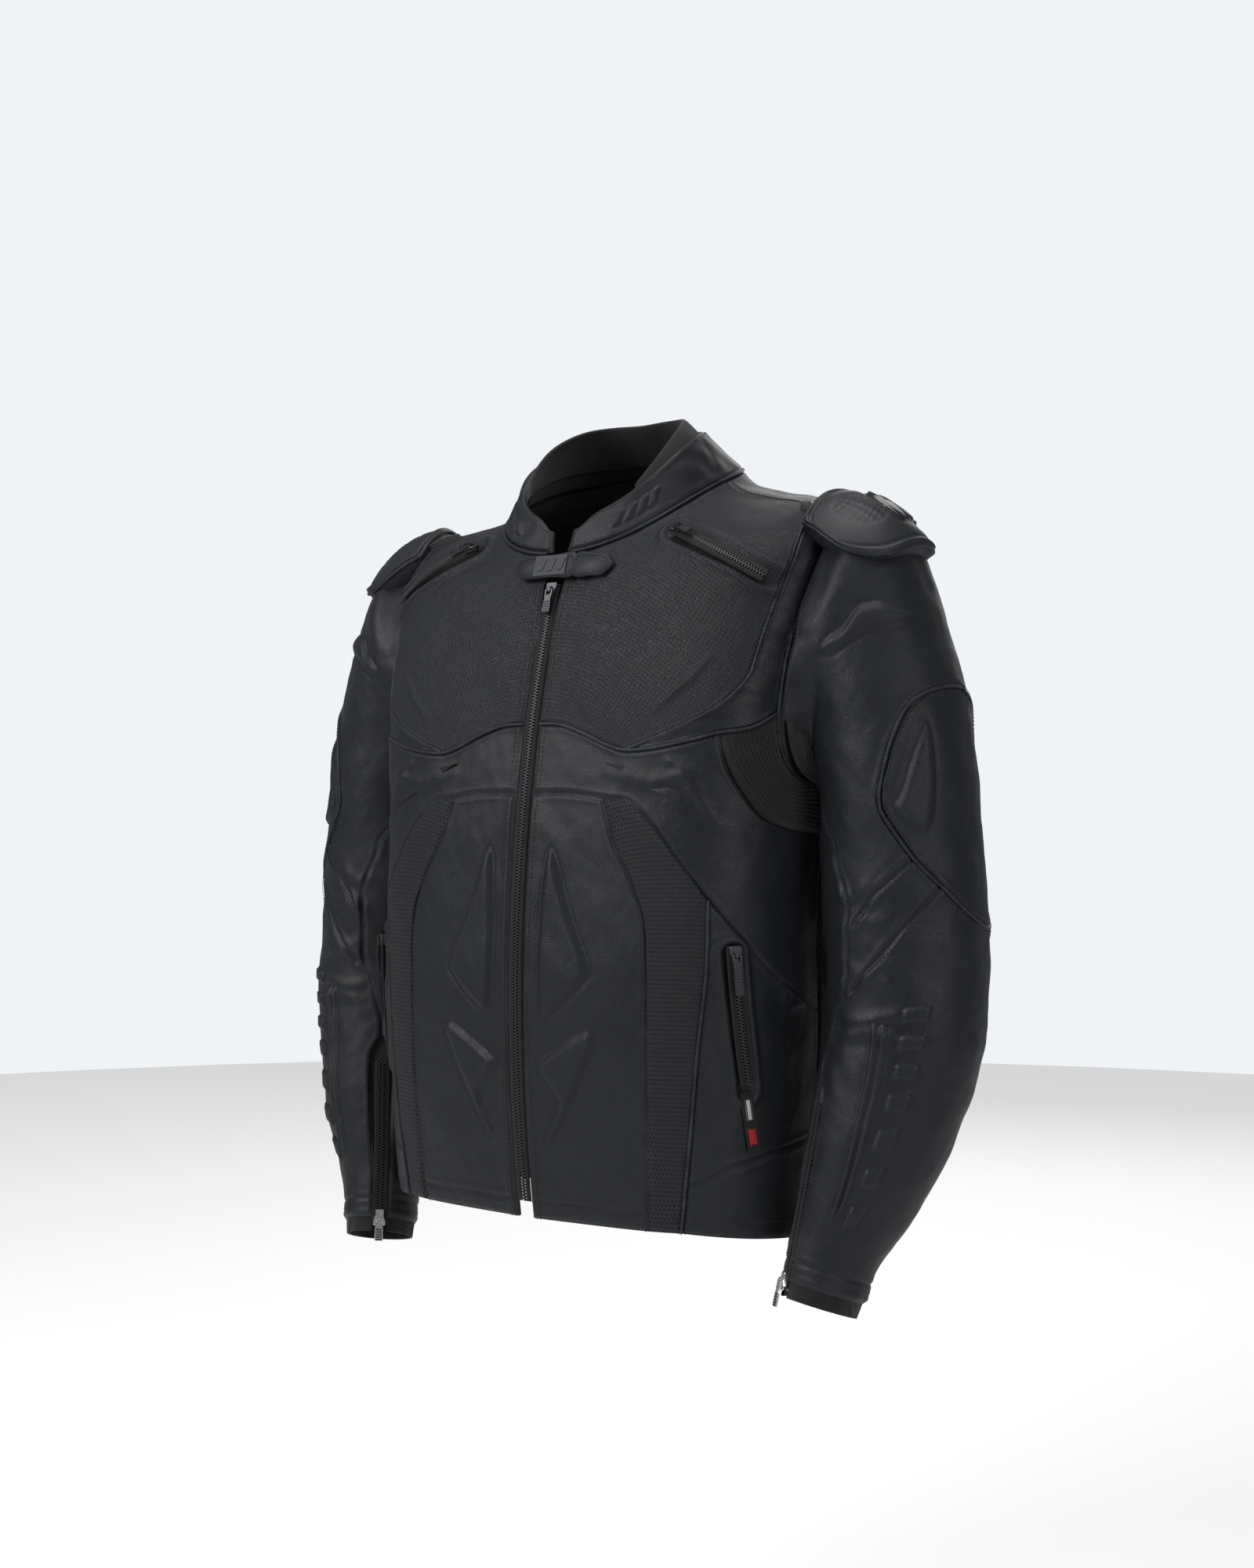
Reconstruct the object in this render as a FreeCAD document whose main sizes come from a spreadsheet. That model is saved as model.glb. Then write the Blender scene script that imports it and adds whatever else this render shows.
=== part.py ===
import FreeCAD, Part

"""Leather motorcycle riding jacket, worn shape, built panel by panel.

Frame: +Z up, the front faces -Y, +X is the wearer's left.  The origin is the middle of the
waist opening at the height of the front hem.  All sizes are millimetres.

The shell is two families of surfaces.  torso_point(phi, v) is the body: phi runs round it from
the front centre line, and v counts the stations from the hem to the neck.  sleeve_point(psi, s)
is the left sleeve: psi runs round it from its front, and s counts the rings from the armhole to
the cuff.  Every leather piece is a patch of one of these, thickened inwards, with a seam gap
round it.  The right side mirrors the left.
"""

import math
import os

import Sketcher

doc = FreeCAD.newDocument("riding_jacket")
sheet = doc.addObject("Spreadsheet::Sheet", "sizes")

# ---------------------------------------------------------------- driving dimensions

SIZES = {
    # front centre line: an arc about a far axis, so that the zip's slider can follow it
    "front_radius": 1072.0, "front_pivot_y": 944.0, "front_pivot_z": 170.0,
    # leather, lining and seams
    "leather_thick": 3.0, "lining_thick": 1.2, "lining_gap": 6.0, "seam_gap": 1.8,
    "zip_opening_half": 7.2,
    # zip fastener
    "row_width": 2.2, "row_gap": 1.6, "row_thick": 2.0, "tape_width": 3.0, "tape_thick": 0.8,
    "slider_width": 10.0, "slider_length": 13.0, "plate_thick": 1.4, "plate_space": 3.0,
    "post_thick": 0.8, "bail_height": 2.4, "bail_width": 3.2, "bail_length": 5.0,
    "pull_width": 7.0, "pull_thick": 1.6, "pull_long": 30.0, "pull_short": 20.0,
    "pull_slot_width": 4.2, "pull_slot_length": 4.8, "pull_root": 0.6, "pull_lift": 0.55,
    # collar
    "collar_height": 26.0, "roll_height": 12.0, "roll_thick": 6.0,
    # latch across the top of the zip
    "latch_height": 19.0, "latch_thick": 2.6, "latch_hinge_x": 22.0, "latch_tip": 9.0,
    "latch_strap_length": 57.0, "latch_anchor_length": 33.0, "latch_z": 500.0, "latch_stand": 3.4,
    "latch_bend": 8.0,
    "badge_length": 31.0, "badge_thick": 1.6,
    "stud_radius": 6.0, "stud_height": 2.4, "loop_radius": 20.0, "loop_tube": 1.8, "label_thick": 0.8,
    # shoulder and elbow protection
    "cup_x": 195.0, "cup_y": 28.0, "cup_z": 440.0, "cup_out": 92.0, "cup_deep": 74.0,
    "cup_high": 116.5, "cup_thick": 3.5, "armour_thick": 8.0, "armour_gap": 1.2,
}

# height at front, side and back, half width, back depth, squareness, side set-back
TORSO_STATIONS = {
    "hem": (0, -12, -18, 185, 118, 0.05, 0),
    "hip": (70, 70, 70, 185, 115, 0.05, 0),
    "belly": (150, 150, 150, 186, 111, 0.05, 0),
    "waist": (230, 230, 230, 186, 110, 0.055, 0),
    "rib": (300, 298, 300, 187, 114, 0.06, 0),
    "chest_low": (350, 345, 350, 188, 120, 0.075, 2),
    "chest": (395, 390, 395, 190, 124, 0.09, 5),
    "chest_high": (432, 435, 440, 193, 123, 0.09, 10),
    "collar_bone": (462, 480, 485, 196, 117, 0.085, 16),
    "shoulder": (482, 518, 522, 198, 110, 0.08, 22),
    "shoulder_top": (494, 541, 545, 188, 102, 0.07, 26),
    "trapeze_out": (501, 551, 558, 164, 98, 0.06, 24),
    "trapeze_mid": (506, 557, 569, 130, 98, 0.05, 17),
    "trapeze_in": (509, 562, 580, 108, 100, 0.045, 9),
    "neck": (512, 571, 595, 92, 102, 0.04, 3),
}

# centre x, y, z, tilt out, lean forward (degrees), half width, half depth
SLEEVE_RINGS = {
    "cap_top": (211.5, 27, 432.8, 78.3, 0, 106, 66),
    "cap": (224, 27, 416.5, 69.6, 0, 97.6, 66),
    "cap_low": (234.5, 26, 385.5, 57.4, 0, 82.5, 65.5),
    "biceps_top": (244.5, 25, 344, 37, 0, 68, 64.5),
    "biceps": (249, 23, 295.5, 13.6, 0, 61.7, 63),
    "above_elbow": (252.5, 21, 241, 3.7, 2, 61.6, 62),
    "elbow": (255, 20, 185, 0, 5, 61, 62),
    "below_elbow": (254, 13, 140, -3, 10, 59, 60),
    "forearm": (249, 3, 95, -6, 15, 55, 56),
    "low_forearm": (237.5, -13, 40, -8, 17, 46, 47),
    "wrist": (222, -29, -12, -9, 17, 34, 36),
    "cuff": (215, -40, -50, -9, 17, 30, 32),
}

TORSO_COLUMNS = ("z_front", "z_side", "z_back", "half_width", "y_back", "square", "set_back")
RING_COLUMNS = ("x", "y", "z", "tilt", "lean", "half_width", "half_depth")


def fill_sheet():
    """Writes every driving dimension to the spreadsheet, with an alias for each cell."""
    rows = [(name, value) for name, value in SIZES.items()]
    for station, values in TORSO_STATIONS.items():
        rows += [(station + "_" + c, v) for c, v in zip(TORSO_COLUMNS, values)]
    for ring, values in SLEEVE_RINGS.items():
        rows += [("sleeve_" + ring + "_" + c, v) for c, v in zip(RING_COLUMNS, values)]
    for number, (alias, value) in enumerate(rows, start=1):
        sheet.set("A%d" % number, alias)
        sheet.set("B%d" % number, str(value))
        sheet.setAlias("B%d" % number, alias)
    doc.recompute()


fill_sheet()


def size(alias):
    return float(sheet.get(alias))


def vec(x, y, z):
    return FreeCAD.Vector(x, y, z)


# ---------------------------------------------------------------- interpolation


def spline(rows, t):
    """A row of numbers at parameter t of a Catmull-Rom curve through rows, one row per unit."""
    last = len(rows) - 1
    i = min(max(int(math.floor(t)), 0), last - 1)
    f = t - i
    p1, p2 = rows[i], rows[i + 1]
    p0 = rows[i - 1] if i > 0 else [2 * a - b for a, b in zip(p1, p2)]
    p3 = rows[i + 2] if i + 2 <= last else [2 * a - b for a, b in zip(p2, p1)]
    w0 = -0.5 * f + f * f - 0.5 * f ** 3
    w1 = 1 - 2.5 * f * f + 1.5 * f ** 3
    w2 = 0.5 * f + 2 * f * f - 1.5 * f ** 3
    w3 = -0.5 * f * f + 0.5 * f ** 3
    return [w0 * a + w1 * b + w2 * c + w3 * d for a, b, c, d in zip(p0, p1, p2, p3)]


def along(points, t):
    """The point at share t, from 0 to 1, of a smooth curve through points."""
    return spline(points, t * (len(points) - 1))


# ---------------------------------------------------------------- the body

TORSO_ROWS = [[size(s + "_" + c) for c in TORSO_COLUMNS] for s in TORSO_STATIONS]
NECK = float(len(TORSO_ROWS) - 1)


def front_y(z):
    """The front centre line's y at height z."""
    rise = z - size("front_pivot_z")
    return size("front_pivot_y") - math.sqrt(size("front_radius") ** 2 - rise * rise)


def torso_point(phi, v):
    z_front, z_side, z_back, half, y_back, square, set_back = spline(TORSO_ROWS, v)
    c, s = math.cos(phi), math.sin(phi)
    y_front = front_y(z_front)
    middle, depth = (y_front + y_back) / 2, (y_back - y_front) / 2
    x = half * (s + square * math.sin(3 * phi)) / (1 - square)
    y = middle - depth * (c - square * math.cos(3 * phi)) / (1 - square) + set_back * s * s
    z = z_side - (z_back - z_front) / 2 * c + ((z_front + z_back) / 2 - z_side) * c * c
    return vec(x, y, z)


def level(phi, z):
    """The station parameter at which the body is z high at phi."""
    low, high = 0.0, NECK
    for _ in range(40):
        mid = (low + high) / 2
        if torso_point(phi, mid).z < z:
            low = mid
        else:
            high = mid
    return (low + high) / 2


def find(phi_low, phi_high, measure, target, z):
    """(phi, v) at height z where measure(point) reaches target, between two angles."""
    rising = measure(torso_point(phi_high, level(phi_high, z))) > measure(
        torso_point(phi_low, level(phi_low, z)))
    for _ in range(40):
        mid = (phi_low + phi_high) / 2
        if (measure(torso_point(mid, level(mid, z))) < target) == rising:
            phi_low = mid
        else:
            phi_high = mid
    mid = (phi_low + phi_high) / 2
    return [mid, level(mid, z)]


def front(x, z):
    """(phi, v) of the body's front at x across and z up."""
    return find(0.0, math.radians(80), lambda p: p.x, x, z)


def side(y, z):
    """(phi, v) of the body's left side at depth y and z up."""
    return find(math.radians(25), math.radians(155), lambda p: p.y, y, z)


def back(x, z):
    """(phi, v) of the body's back at x across and z up."""
    return find(math.radians(100), math.pi, lambda p: p.x, x, z)


# Seams of the body's left half.  Front seams are (x, z), side seams (y, z).
EDGE_X = size("zip_opening_half")
WAVE = [front(EDGE_X, 378), front(28, 377), front(50, 370), front(72, 361), front(88, 357)]
BAND_TOP = WAVE[-1:] + [front(109, 358), front(127, 361), front(144, 365), side(-88, 369)]
GUSSET_TOP = [side(-88, 369), side(-70, 373), side(-48, 384)]
def between(a, b, *shares):
    """Points at those shares of the straight line, in (phi, v), from a to b."""
    return [[a[0] + (b[0] - a[0]) * t, a[1] + (b[1] - a[1]) * t] for t in shares]


CHEST_OUTER = [front(88, 357), front(138, 377), front(161, 392), side(-71, 410), side(-64, 426),
               side(-54, 450), side(-44, 471), side(-33, 495), side(-14, 520)]
CHEST_OUTER += between(CHEST_OUTER[-1], side(19, 539), 0.5, 0.9, 1.0)
SHOULDER_SEAM = between(CHEST_OUTER[-1], [math.radians(87), NECK - 2.5], 0.0, 0.08, 0.5, 1.0)
SHOULDER_SEAM += [[math.radians(91), NECK - 1.2], [math.radians(95), NECK]]
ARC = [front(EDGE_X, 325), front(40, 325), front(72, 321)]
ARC_STRIP = [front(72, 321), front(93, 318), front(113, 303), front(131, 280), front(154, 247)]
ARC_SIDE = [front(154, 247), side(-75, 217), side(-47, 190), side(-17, 172), side(13, 160)]
STRIP_INNER = [front(107, 1), front(111, 90), front(112, 216), front(101, 257), front(84, 287),
               front(72, 321)]
STRIP_OUTER = [front(131, 1), front(141, 74), front(147, 135), front(153, 195), front(154, 247)]
GUSSET_EDGE = [side(-88, 369), side(-84, 346), side(-76, 328), side(-61, 309), side(-35, 299),
               side(13, 291)]
SIDE_Y, BACK_SIDE_Y, BACK_X = 13.0, 58.0, 92.0
LUMBAR_LOW, LUMBAR_HIGH, YOKE_Z = 118.0, 205.0, 492.0

ARMHOLE_YZ = [(41, 540), (31, 517), (9, 489), (-18, 459), (-38, 424), (-48, 384), (-42, 355),
              (-22, 337), (13, 331), (58, 344), (78, 378), (91, 422), (97, 465), (92, 504),
              (70, 530), (41, 540)]
ARMHOLE = [side(y, z) for y, z in ARMHOLE_YZ]
FRONT_OF_ARMHOLE = ARMHOLE[:6]
UNDER_ARMHOLE = ARMHOLE[5:9]
BACK_OF_ARMHOLE = ARMHOLE[9:14]
TOP_OF_ARMHOLE = ARMHOLE[13:]


def coons(bottom, top, left, right):
    """A function of (a, b), 0 to 1, that fills four edge curves given as lists of (phi, v)."""
    corners = (bottom[0], bottom[-1], top[0], top[-1])

    def fill(a, b):
        lo, hi, le, ri = along(bottom, a), along(top, a), along(left, b), along(right, b)
        out = []
        for k in (0, 1):
            edges = (1 - b) * lo[k] + b * hi[k] + (1 - a) * le[k] + a * ri[k]
            flat = ((1 - a) * (1 - b) * corners[0][k] + a * (1 - b) * corners[1][k]
                    + (1 - a) * b * corners[2][k] + a * b * corners[3][k])
            out.append(edges - flat)
        return out

    return fill


# ---------------------------------------------------------------- the sleeve

RING_ROWS = [[size("sleeve_" + r + "_" + c) for c in RING_COLUMNS] for r in SLEEVE_RINGS]
CUFF = float(len(RING_ROWS))
ELBOW = 1.0 + list(SLEEVE_RINGS).index("elbow")


def ring_point(row, psi):
    """A point of a sleeve ring: psi 0 is its front, and 90 degrees its outer side."""
    x, y, z, tilt, lean, half_width, half_depth = row
    a, b = math.radians(tilt), math.radians(lean)
    out, fore = half_width * math.sin(psi), half_depth * math.cos(psi)
    return [x + out * math.cos(a), y - fore * math.cos(b), z + out * math.sin(a) + fore * math.sin(b)]


def armhole_point(psi):
    """The armhole's point that sleeve angle psi starts from."""
    share = ((math.pi / 2 - psi) / (2 * math.pi)) % 1.0
    p = torso_point(*along(ARMHOLE, share))
    return [p.x, p.y, p.z]


def sleeve_point(psi, s):
    i = min(max(int(math.floor(s)), 0), len(RING_ROWS) - 1)
    rows = [armhole_point(psi) if k == 0 else ring_point(RING_ROWS[k - 1], psi)
            for k in range(max(i - 1, 0), min(i + 3, len(RING_ROWS) + 1))]
    return vec(*spline(rows, s - max(i - 1, 0)))


def rectangle(psi_low, psi_high, s_low, s_high):
    """A plain patch of the sleeve, between two angles in degrees and two rings."""
    low, high = math.radians(psi_low), math.radians(psi_high)
    return lambda a, b: [low + (high - low) * a, s_low + (s_high - s_low) * b]


# ---------------------------------------------------------------- patches into solids


def normal_of(surface, p, q):
    """The outward unit normal of surface at (p, q)."""
    d = 1e-3
    dp = surface(p + d, q) - surface(p - d, q)
    dq = surface(p, q + d) - surface(p, q - d)
    n = dp.cross(dq)
    n.normalize()
    return n


def outward(surface, p, q, centre):
    n = normal_of(surface, p, q)
    return n if n.dot(surface(p, q) - centre) > 0 else n * -1.0


def torso_normal(phi, v):
    p = torso_point(phi, v)
    return outward(torso_point, phi, min(v, NECK - 0.01), vec(0, p.y * 0.3, min(p.z - 60, 420)))


def sleeve_normal(psi, s):
    """Straight out of the sleeve's ring, which stays smooth where the armhole folds."""
    row = spline(RING_ROWS, max(s - 1, 0))
    n = vec(*ring_point([0, 0, 0, row[3], row[4], 1, 1], psi))
    n.normalize()
    return n


def hermite_poles(points):
    """The poles of the C1 cubic through a row of points, with central-difference tangents."""
    last = len(points) - 1
    poles = [points[0]]
    for i in range(last):
        here = (points[i + 1] - points[max(i - 1, 0)]) * (0.5 if i > 0 else 1.0)
        there = (points[min(i + 2, last)] - points[i]) * (0.5 if i + 2 <= last else 1.0)
        poles += [points[i] + here * (1 / 3), points[i + 1] - there * (1 / 3)]
    return poles + [points[last]]


def grid_surface(points):
    """The C1 bicubic surface through a grid of points."""
    rows = [hermite_poles(row) for row in points]
    columns = [hermite_poles(list(column)) for column in zip(*rows)]
    poles = [list(row) for row in zip(*columns)]
    knots = [[float(k) for k in range(n)] for n in (len(points), len(points[0]))]
    mults = [[4] + [2] * (len(k) - 2) + [4] for k in knots]
    surface = Part.BSplineSurface()
    surface.buildFromPolesMultsKnots(poles, mults[0], mults[1], knots[0], knots[1], False, False, 3, 3)
    return surface


def ruled_strip(row, other):
    """The ruled surface between the cubics through two rows of points."""
    poles = [hermite_poles(row), hermite_poles(other)]
    knots = [float(k) for k in range(len(row))]
    mults = [4] + [2] * (len(row) - 2) + [4]
    surface = Part.BSplineSurface()
    surface.buildFromPolesMultsKnots(poles, [2, 2], mults, [0.0, 1.0], knots, False, False, 1, 3)
    return surface.toShape()


def slab(outer, inner):
    """A closed solid between two grids of points, with ruled edges."""
    faces = [grid_surface(outer).toShape(), grid_surface(inner).toShape()]
    faces += [ruled_strip(outer[0], inner[0]), ruled_strip(outer[-1], inner[-1])]
    for end in (0, -1):
        faces.append(ruled_strip([row[end] for row in outer], [row[end] for row in inner]))
    shell = Part.makeShell(faces)
    shell.sewShape()
    solid = Part.makeSolid(Part.Shell(shell.Faces))
    if solid.Volume < 0:
        solid.reverse()
    return solid


def patch(surface, normal, fill, across, up, thick, depth=0.0, gap=None):
    """A patch of surface as a solid thick deep, depth under the surface, gap inside its seams."""
    gap = size("seam_gap") / 2 if gap is None else gap
    mid = [surface(*fill(a, b)) for a, b in ((0, .5), (1, .5), (.5, 0), (.5, 1))]
    ea = gap / max((mid[1] - mid[0]).Length, 4 * gap)
    eb = gap / max((mid[3] - mid[2]).Length, 4 * gap)
    outer, inner = [], []
    for i in range(across + 1):
        a = ea + (1 - 2 * ea) * i / across
        outer.append([])
        inner.append([])
        for j in range(up + 1):
            b = eb + (1 - 2 * eb) * j / up
            p, q = fill(a, b)
            point, n = surface(p, q), normal(p, q)
            outer[-1].append(point - n * depth)
            inner[-1].append(point - n * (depth + thick))
    return slab(outer, inner)


def mirrored(shape):
    """The right-hand twin of a left-hand shape."""
    return shape.mirror(vec(0, 0, 0), vec(1, 0, 0))


def feature(label, shape):
    obj = doc.addObject("Part::Feature", label)
    obj.Label = label
    obj.Shape = shape
    return obj


def pair(name, shape):
    """A left and a right node of the same piece."""
    feature(name + "_left", shape)
    feature(name + "_right", mirrored(shape))


def both(name, shape):
    """One node that holds a piece and its right-hand twin."""
    feature(name, Part.makeCompound([shape, mirrored(shape)]))


def body_patch(fill, across=8, up=8, thick=None, depth=0.0):
    thick = size("leather_thick") if thick is None else thick
    return patch(torso_point, torso_normal, fill, across, up, thick, depth)


def hem_line(low, high, count=5):
    """The stretch of the hem between two angles."""
    return [[low + (high - low) * i / (count - 1), 0.0] for i in range(count)]


# ---------------------------------------------------------------- the body's leather


def front_panels():
    edge = [front(EDGE_X, z) for z in (1, 80, 160, 240, 325)]
    pair("lower_front_panel", body_patch(
        coons(hem_line(edge[0][0], STRIP_INNER[0][0]), ARC, edge, STRIP_INNER), 8, 12))
    pair("perforated_strip", body_patch(
        coons(hem_line(STRIP_INNER[0][0], STRIP_OUTER[0][0]), ARC_STRIP, STRIP_INNER, STRIP_OUTER),
        6, 12))
    side_edge = [side(SIDE_Y, z) for z in (-11, 30, 73, 116, 160)]
    pair("side_panel", body_patch(
        coons(hem_line(STRIP_OUTER[0][0], side_edge[0][0]), ARC_SIDE, STRIP_OUTER, side_edge), 8, 10))
    band_low = ARC + ARC_STRIP[1:] + ARC_SIDE[1:]
    band_edge = [front(EDGE_X, z) for z in (325, 352, 378)]
    gusset_to_side = [side(*at) for at in (  # a little clear of the corner by the gusset
        (13, 160), (12.5, 205), (11, 250), (11, 288.5), (-35, 297.3), (-61.5, 307.3), (-77, 327),
        (-85, 346), (-88, 369))]
    pair("chest_band", body_patch(
        coons(band_low, WAVE + BAND_TOP[1:], band_edge, gusset_to_side), 14, 8))
    chest_edge = [front(EDGE_X, z) for z in (378, 425, 470)] + [[math.radians(4.4), NECK]]
    neck_line = [[math.radians(4.4 + (95 - 4.4) * i / 6), NECK] for i in range(7)]
    chest_outer = CHEST_OUTER + SHOULDER_SEAM[1:]
    pair("chest_panel", body_patch(coons(WAVE, neck_line, chest_edge, chest_outer), 10, 14))
    strip_low = BAND_TOP + GUSSET_TOP[1:]
    strip_top = [CHEST_OUTER[-1], ARMHOLE[0]]
    both("armhole_strips", body_patch(
        coons(strip_low, strip_top, CHEST_OUTER, list(reversed(FRONT_OF_ARMHOLE))), 6, 14))
    gusset_side = [side(SIDE_Y, 291), side(SIDE_Y, 310), UNDER_ARMHOLE[-1]]
    both("underarm_gussets", body_patch(
        coons(GUSSET_EDGE, UNDER_ARMHOLE, GUSSET_TOP, gusset_side), 8, 6))


def back_panels():
    side_edge = [side(SIDE_Y, z) for z in (-11, 30, 73, 116, 160, 204, 248, 291, 331)]
    back_side_edge = [side(BACK_SIDE_Y, z) for z in (-13, 40, 95, 150, 205, 260, 305)] + [ARMHOLE[9]]
    both("side_stretch_panels", body_patch(
        coons(hem_line(side_edge[0][0], back_side_edge[0][0]), ARMHOLE[8:10], side_edge,
              back_side_edge), 6, 12))
    back_edge = [back(BACK_X, z) for z in (-16, 50, 118, 160, 205, 260, 320, 375, 430, YOKE_Z)]
    outer_edge = back_side_edge[:-1] + BACK_OF_ARMHOLE
    yoke_side = [BACK_OF_ARMHOLE[-1], back(160, 499), back(125, 496), back_edge[-1]]
    pair("back_side_panel", body_patch(
        coons(hem_line(back_side_edge[0][0], back_edge[0][0]), yoke_side, outer_edge, back_edge),
        8, 14))

    def centre(side_heights):
        """A panel between the two long seams, whose edges pass through those heights."""
        edge = [back(BACK_X, z) for z in side_heights]

        def across(corner, height):
            mid = 0.0 if corner[1] < 0.01 else level(math.pi, height)
            half = [list(corner), [(corner[0] + math.pi) / 2, mid], [math.pi, mid]]
            return half + [[2 * math.pi - phi, v] for phi, v in reversed(half[:-1])]

        other = [[2 * math.pi - phi, v] for phi, v in edge]
        return body_patch(coons(across(edge[0], side_heights[0]), across(edge[-1], side_heights[-1]),
                                edge, other), 10, 8)

    feature("back_panel", centre((LUMBAR_HIGH, 260, 320, 375, 430, YOKE_Z)))
    feature("lumbar_stretch_panel", centre((LUMBAR_LOW, 160, LUMBAR_HIGH)))
    feature("back_hem_panel", centre((-16, 50, LUMBAR_LOW)))
    half = [BACK_OF_ARMHOLE[-1], back(160, 499), back(125, 496), back(BACK_X, YOKE_Z)]
    mid = level(math.pi, YOKE_Z)
    bottom = half + [[math.radians(165), mid], [math.pi, mid], [math.radians(195), mid]]
    bottom += [[2 * math.pi - p, v] for p, v in reversed(half)]
    edge = TOP_OF_ARMHOLE[:-1] + between(TOP_OF_ARMHOLE[-1], SHOULDER_SEAM[0], 0.0, 0.1, 0.5, 0.9)
    edge += SHOULDER_SEAM
    top = [[math.radians(95 + 170 * i / 8), NECK] for i in range(9)]
    feature("back_yoke", body_patch(
        coons(bottom, top, edge, [[2 * math.pi - p, v] for p, v in edge]), 18, 9))


# ---------------------------------------------------------------- collar and lining

COLLAR_RISE = size("collar_height")


def collar_point(phi, w):
    """The collar's outside: w 0 is its seam, and w 1 the top of its leather."""
    p = torso_point(phi, NECK)
    flat = vec(p.x, p.y, 0)
    lean = 1.0 - w * (0.25 - 0.17 * math.cos(phi))
    grow = size("collar_height") + 18 * math.sin(phi) ** 2 * (0.6 + 0.4 * math.cos(phi))
    return vec(flat.x * lean, 15 + (flat.y - 15) * lean, p.z + 1.8 + grow * w)


def collar_normal(phi, w):
    p = collar_point(phi, w)
    return outward(collar_point, phi, w, vec(0, 6, p.z))


def collar():
    start, count = math.radians(6.5), 24
    end = 2 * math.pi - start
    fill = lambda a, b: [start + (end - start) * a, b]
    feature("collar_band", patch(collar_point, collar_normal, fill, count, 4, size("leather_thick"),
                                 0, 0.3))
    # The soft roll rises out of the band, and lies against its inside.
    deep = size("leather_thick") + 0.3
    begin, reach = math.radians(38), math.radians(322)
    high = 1 + size("roll_height") / COLLAR_RISE
    fill = lambda a, b: [begin + (reach - begin) * a,
                         0.45 + (high - 0.45) * b * (0.72 + 0.28 * math.sin(math.pi * a) ** 0.5)]
    feature("collar_roll", patch(collar_point, collar_normal, fill, count, 4, size("roll_thick"),
                                 deep, 0.0))


def lining():
    """The mesh lining of the body, in a left, a right and a back piece."""
    depth = size("lining_gap")
    low, high = 0.35, 8.6

    def piece(phi_low, phi_high):
        fill = lambda a, b: [math.radians(phi_low + (phi_high - phi_low) * a), low + (high - low) * b]
        return body_patch(fill, 10, 10, size("lining_thick"), depth)

    left = piece(7, 62)
    feature("body_lining", Part.makeCompound([left, mirrored(left), piece(120, 240)]))


# ---------------------------------------------------------------- sleeves and protectors

FRONT_SEAM = [(0.0, -72), (2.0, -70), (3.4, -60), (4.4, -42), (5.2, -26), (6.0, -15), (7.0, -18),
              (7.8, -31), (8.6, -39), (9.2, -41), (CUFF, -41)]
BACK_SEAM = math.radians(168)
ELBOW_TOP, ELBOW_LOW, ZIP_TOP, ZIP_ROOM = ELBOW - 0.12, ELBOW + 0.50, 9.15, math.radians(10.5)


def front_seam(s):
    """The sleeve angle of the seam down the sleeve's front, which ends in the cuff's zip."""
    i = max(k for k in range(len(FRONT_SEAM) - 1) if FRONT_SEAM[k][0] <= s or k == 0)
    (s0, a0), (s1, a1) = FRONT_SEAM[i], FRONT_SEAM[i + 1]
    f = (s - s0) / (s1 - s0)
    return math.radians(a0 + (a1 - a0) * f * f * (3 - 2 * f))


def forearm_start(psi):
    """The forearm starts lower at the front, where the elbow folds, than at the back."""
    return ELBOW_LOW + 0.18 * math.cos(psi)


def outer_or_under(outer, low, high):
    """A patch from the front seam to the back seam, round the outside or the underside."""

    def fill(a, b):
        s = low + (high - low) * b
        opening = ZIP_ROOM * min(max((s - ZIP_TOP + 0.35) / 0.35, 0.0), 1.0)
        seam = front_seam(s)
        if outer:
            psi = seam + opening + (BACK_SEAM - seam - opening) * a
        else:
            psi = BACK_SEAM - 2 * math.pi + (seam - opening - BACK_SEAM + 2 * math.pi) * a
        if low > ELBOW:
            s = forearm_start(psi) + (high - forearm_start(psi)) * b
        return [psi, s]

    return fill


def sleeve_patch(fill, across=12, up=8, thick=None, depth=0.0, gap=None):
    thick = size("leather_thick") if thick is None else thick
    return patch(sleeve_point, sleeve_normal, fill, across, up, thick, depth, gap)


def sleeves():
    upper = 0.09, ELBOW_TOP
    lower = ELBOW_LOW, CUFF
    pair("upper_sleeve_outer", sleeve_patch(outer_or_under(True, *upper), 16, 16))
    under = sleeve_patch(outer_or_under(False, *upper), 12, 16)
    both("upper_sleeve_unders", under)
    pair("forearm_outer", sleeve_patch(outer_or_under(True, *lower), 14, 12))
    pair("forearm_under", sleeve_patch(outer_or_under(False, *lower), 12, 12))
    pair("elbow_gather", elbow_gather())


def elbow_gather():
    """The gathered leather that gives way at the elbow, as a closed tube."""

    def ring(psi, b, depth):
        low, high = ELBOW_TOP + 0.04, forearm_start(psi) - 0.04
        s = low + (high - low) * b
        return sleeve_point(psi, s) - sleeve_normal(psi, s) * depth

    halves = []
    for first in (0.0, math.pi):
        turns = [first + math.pi * i / 12 for i in range(13)]
        grids = [[[ring(psi, j / 4, depth) for j in range(5)] for psi in turns]
                 for depth in (0.0, size("leather_thick"))]
        halves.append(slab(*grids))
    return halves[0].fuse(halves[1])


CUP_CENTRE = (size("cup_x"), size("cup_y"), size("cup_z"))
CUP_RADII = (size("cup_out"), size("cup_deep"), size("cup_high"))


def cup_point(turn, rise, depth=0.0):
    """The cup's outside: turn 0 is its front and 90 its top; rise is how far out it lies."""
    t, r = math.radians(turn), math.radians(rise)
    a, b, c = (radius - depth for radius in CUP_RADII)
    return vec(CUP_CENTRE[0] + a * math.sin(r), CUP_CENTRE[1] - b * math.cos(t) * math.cos(r),
               CUP_CENTRE[2] + c * math.sin(t) * math.cos(r))


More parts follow.
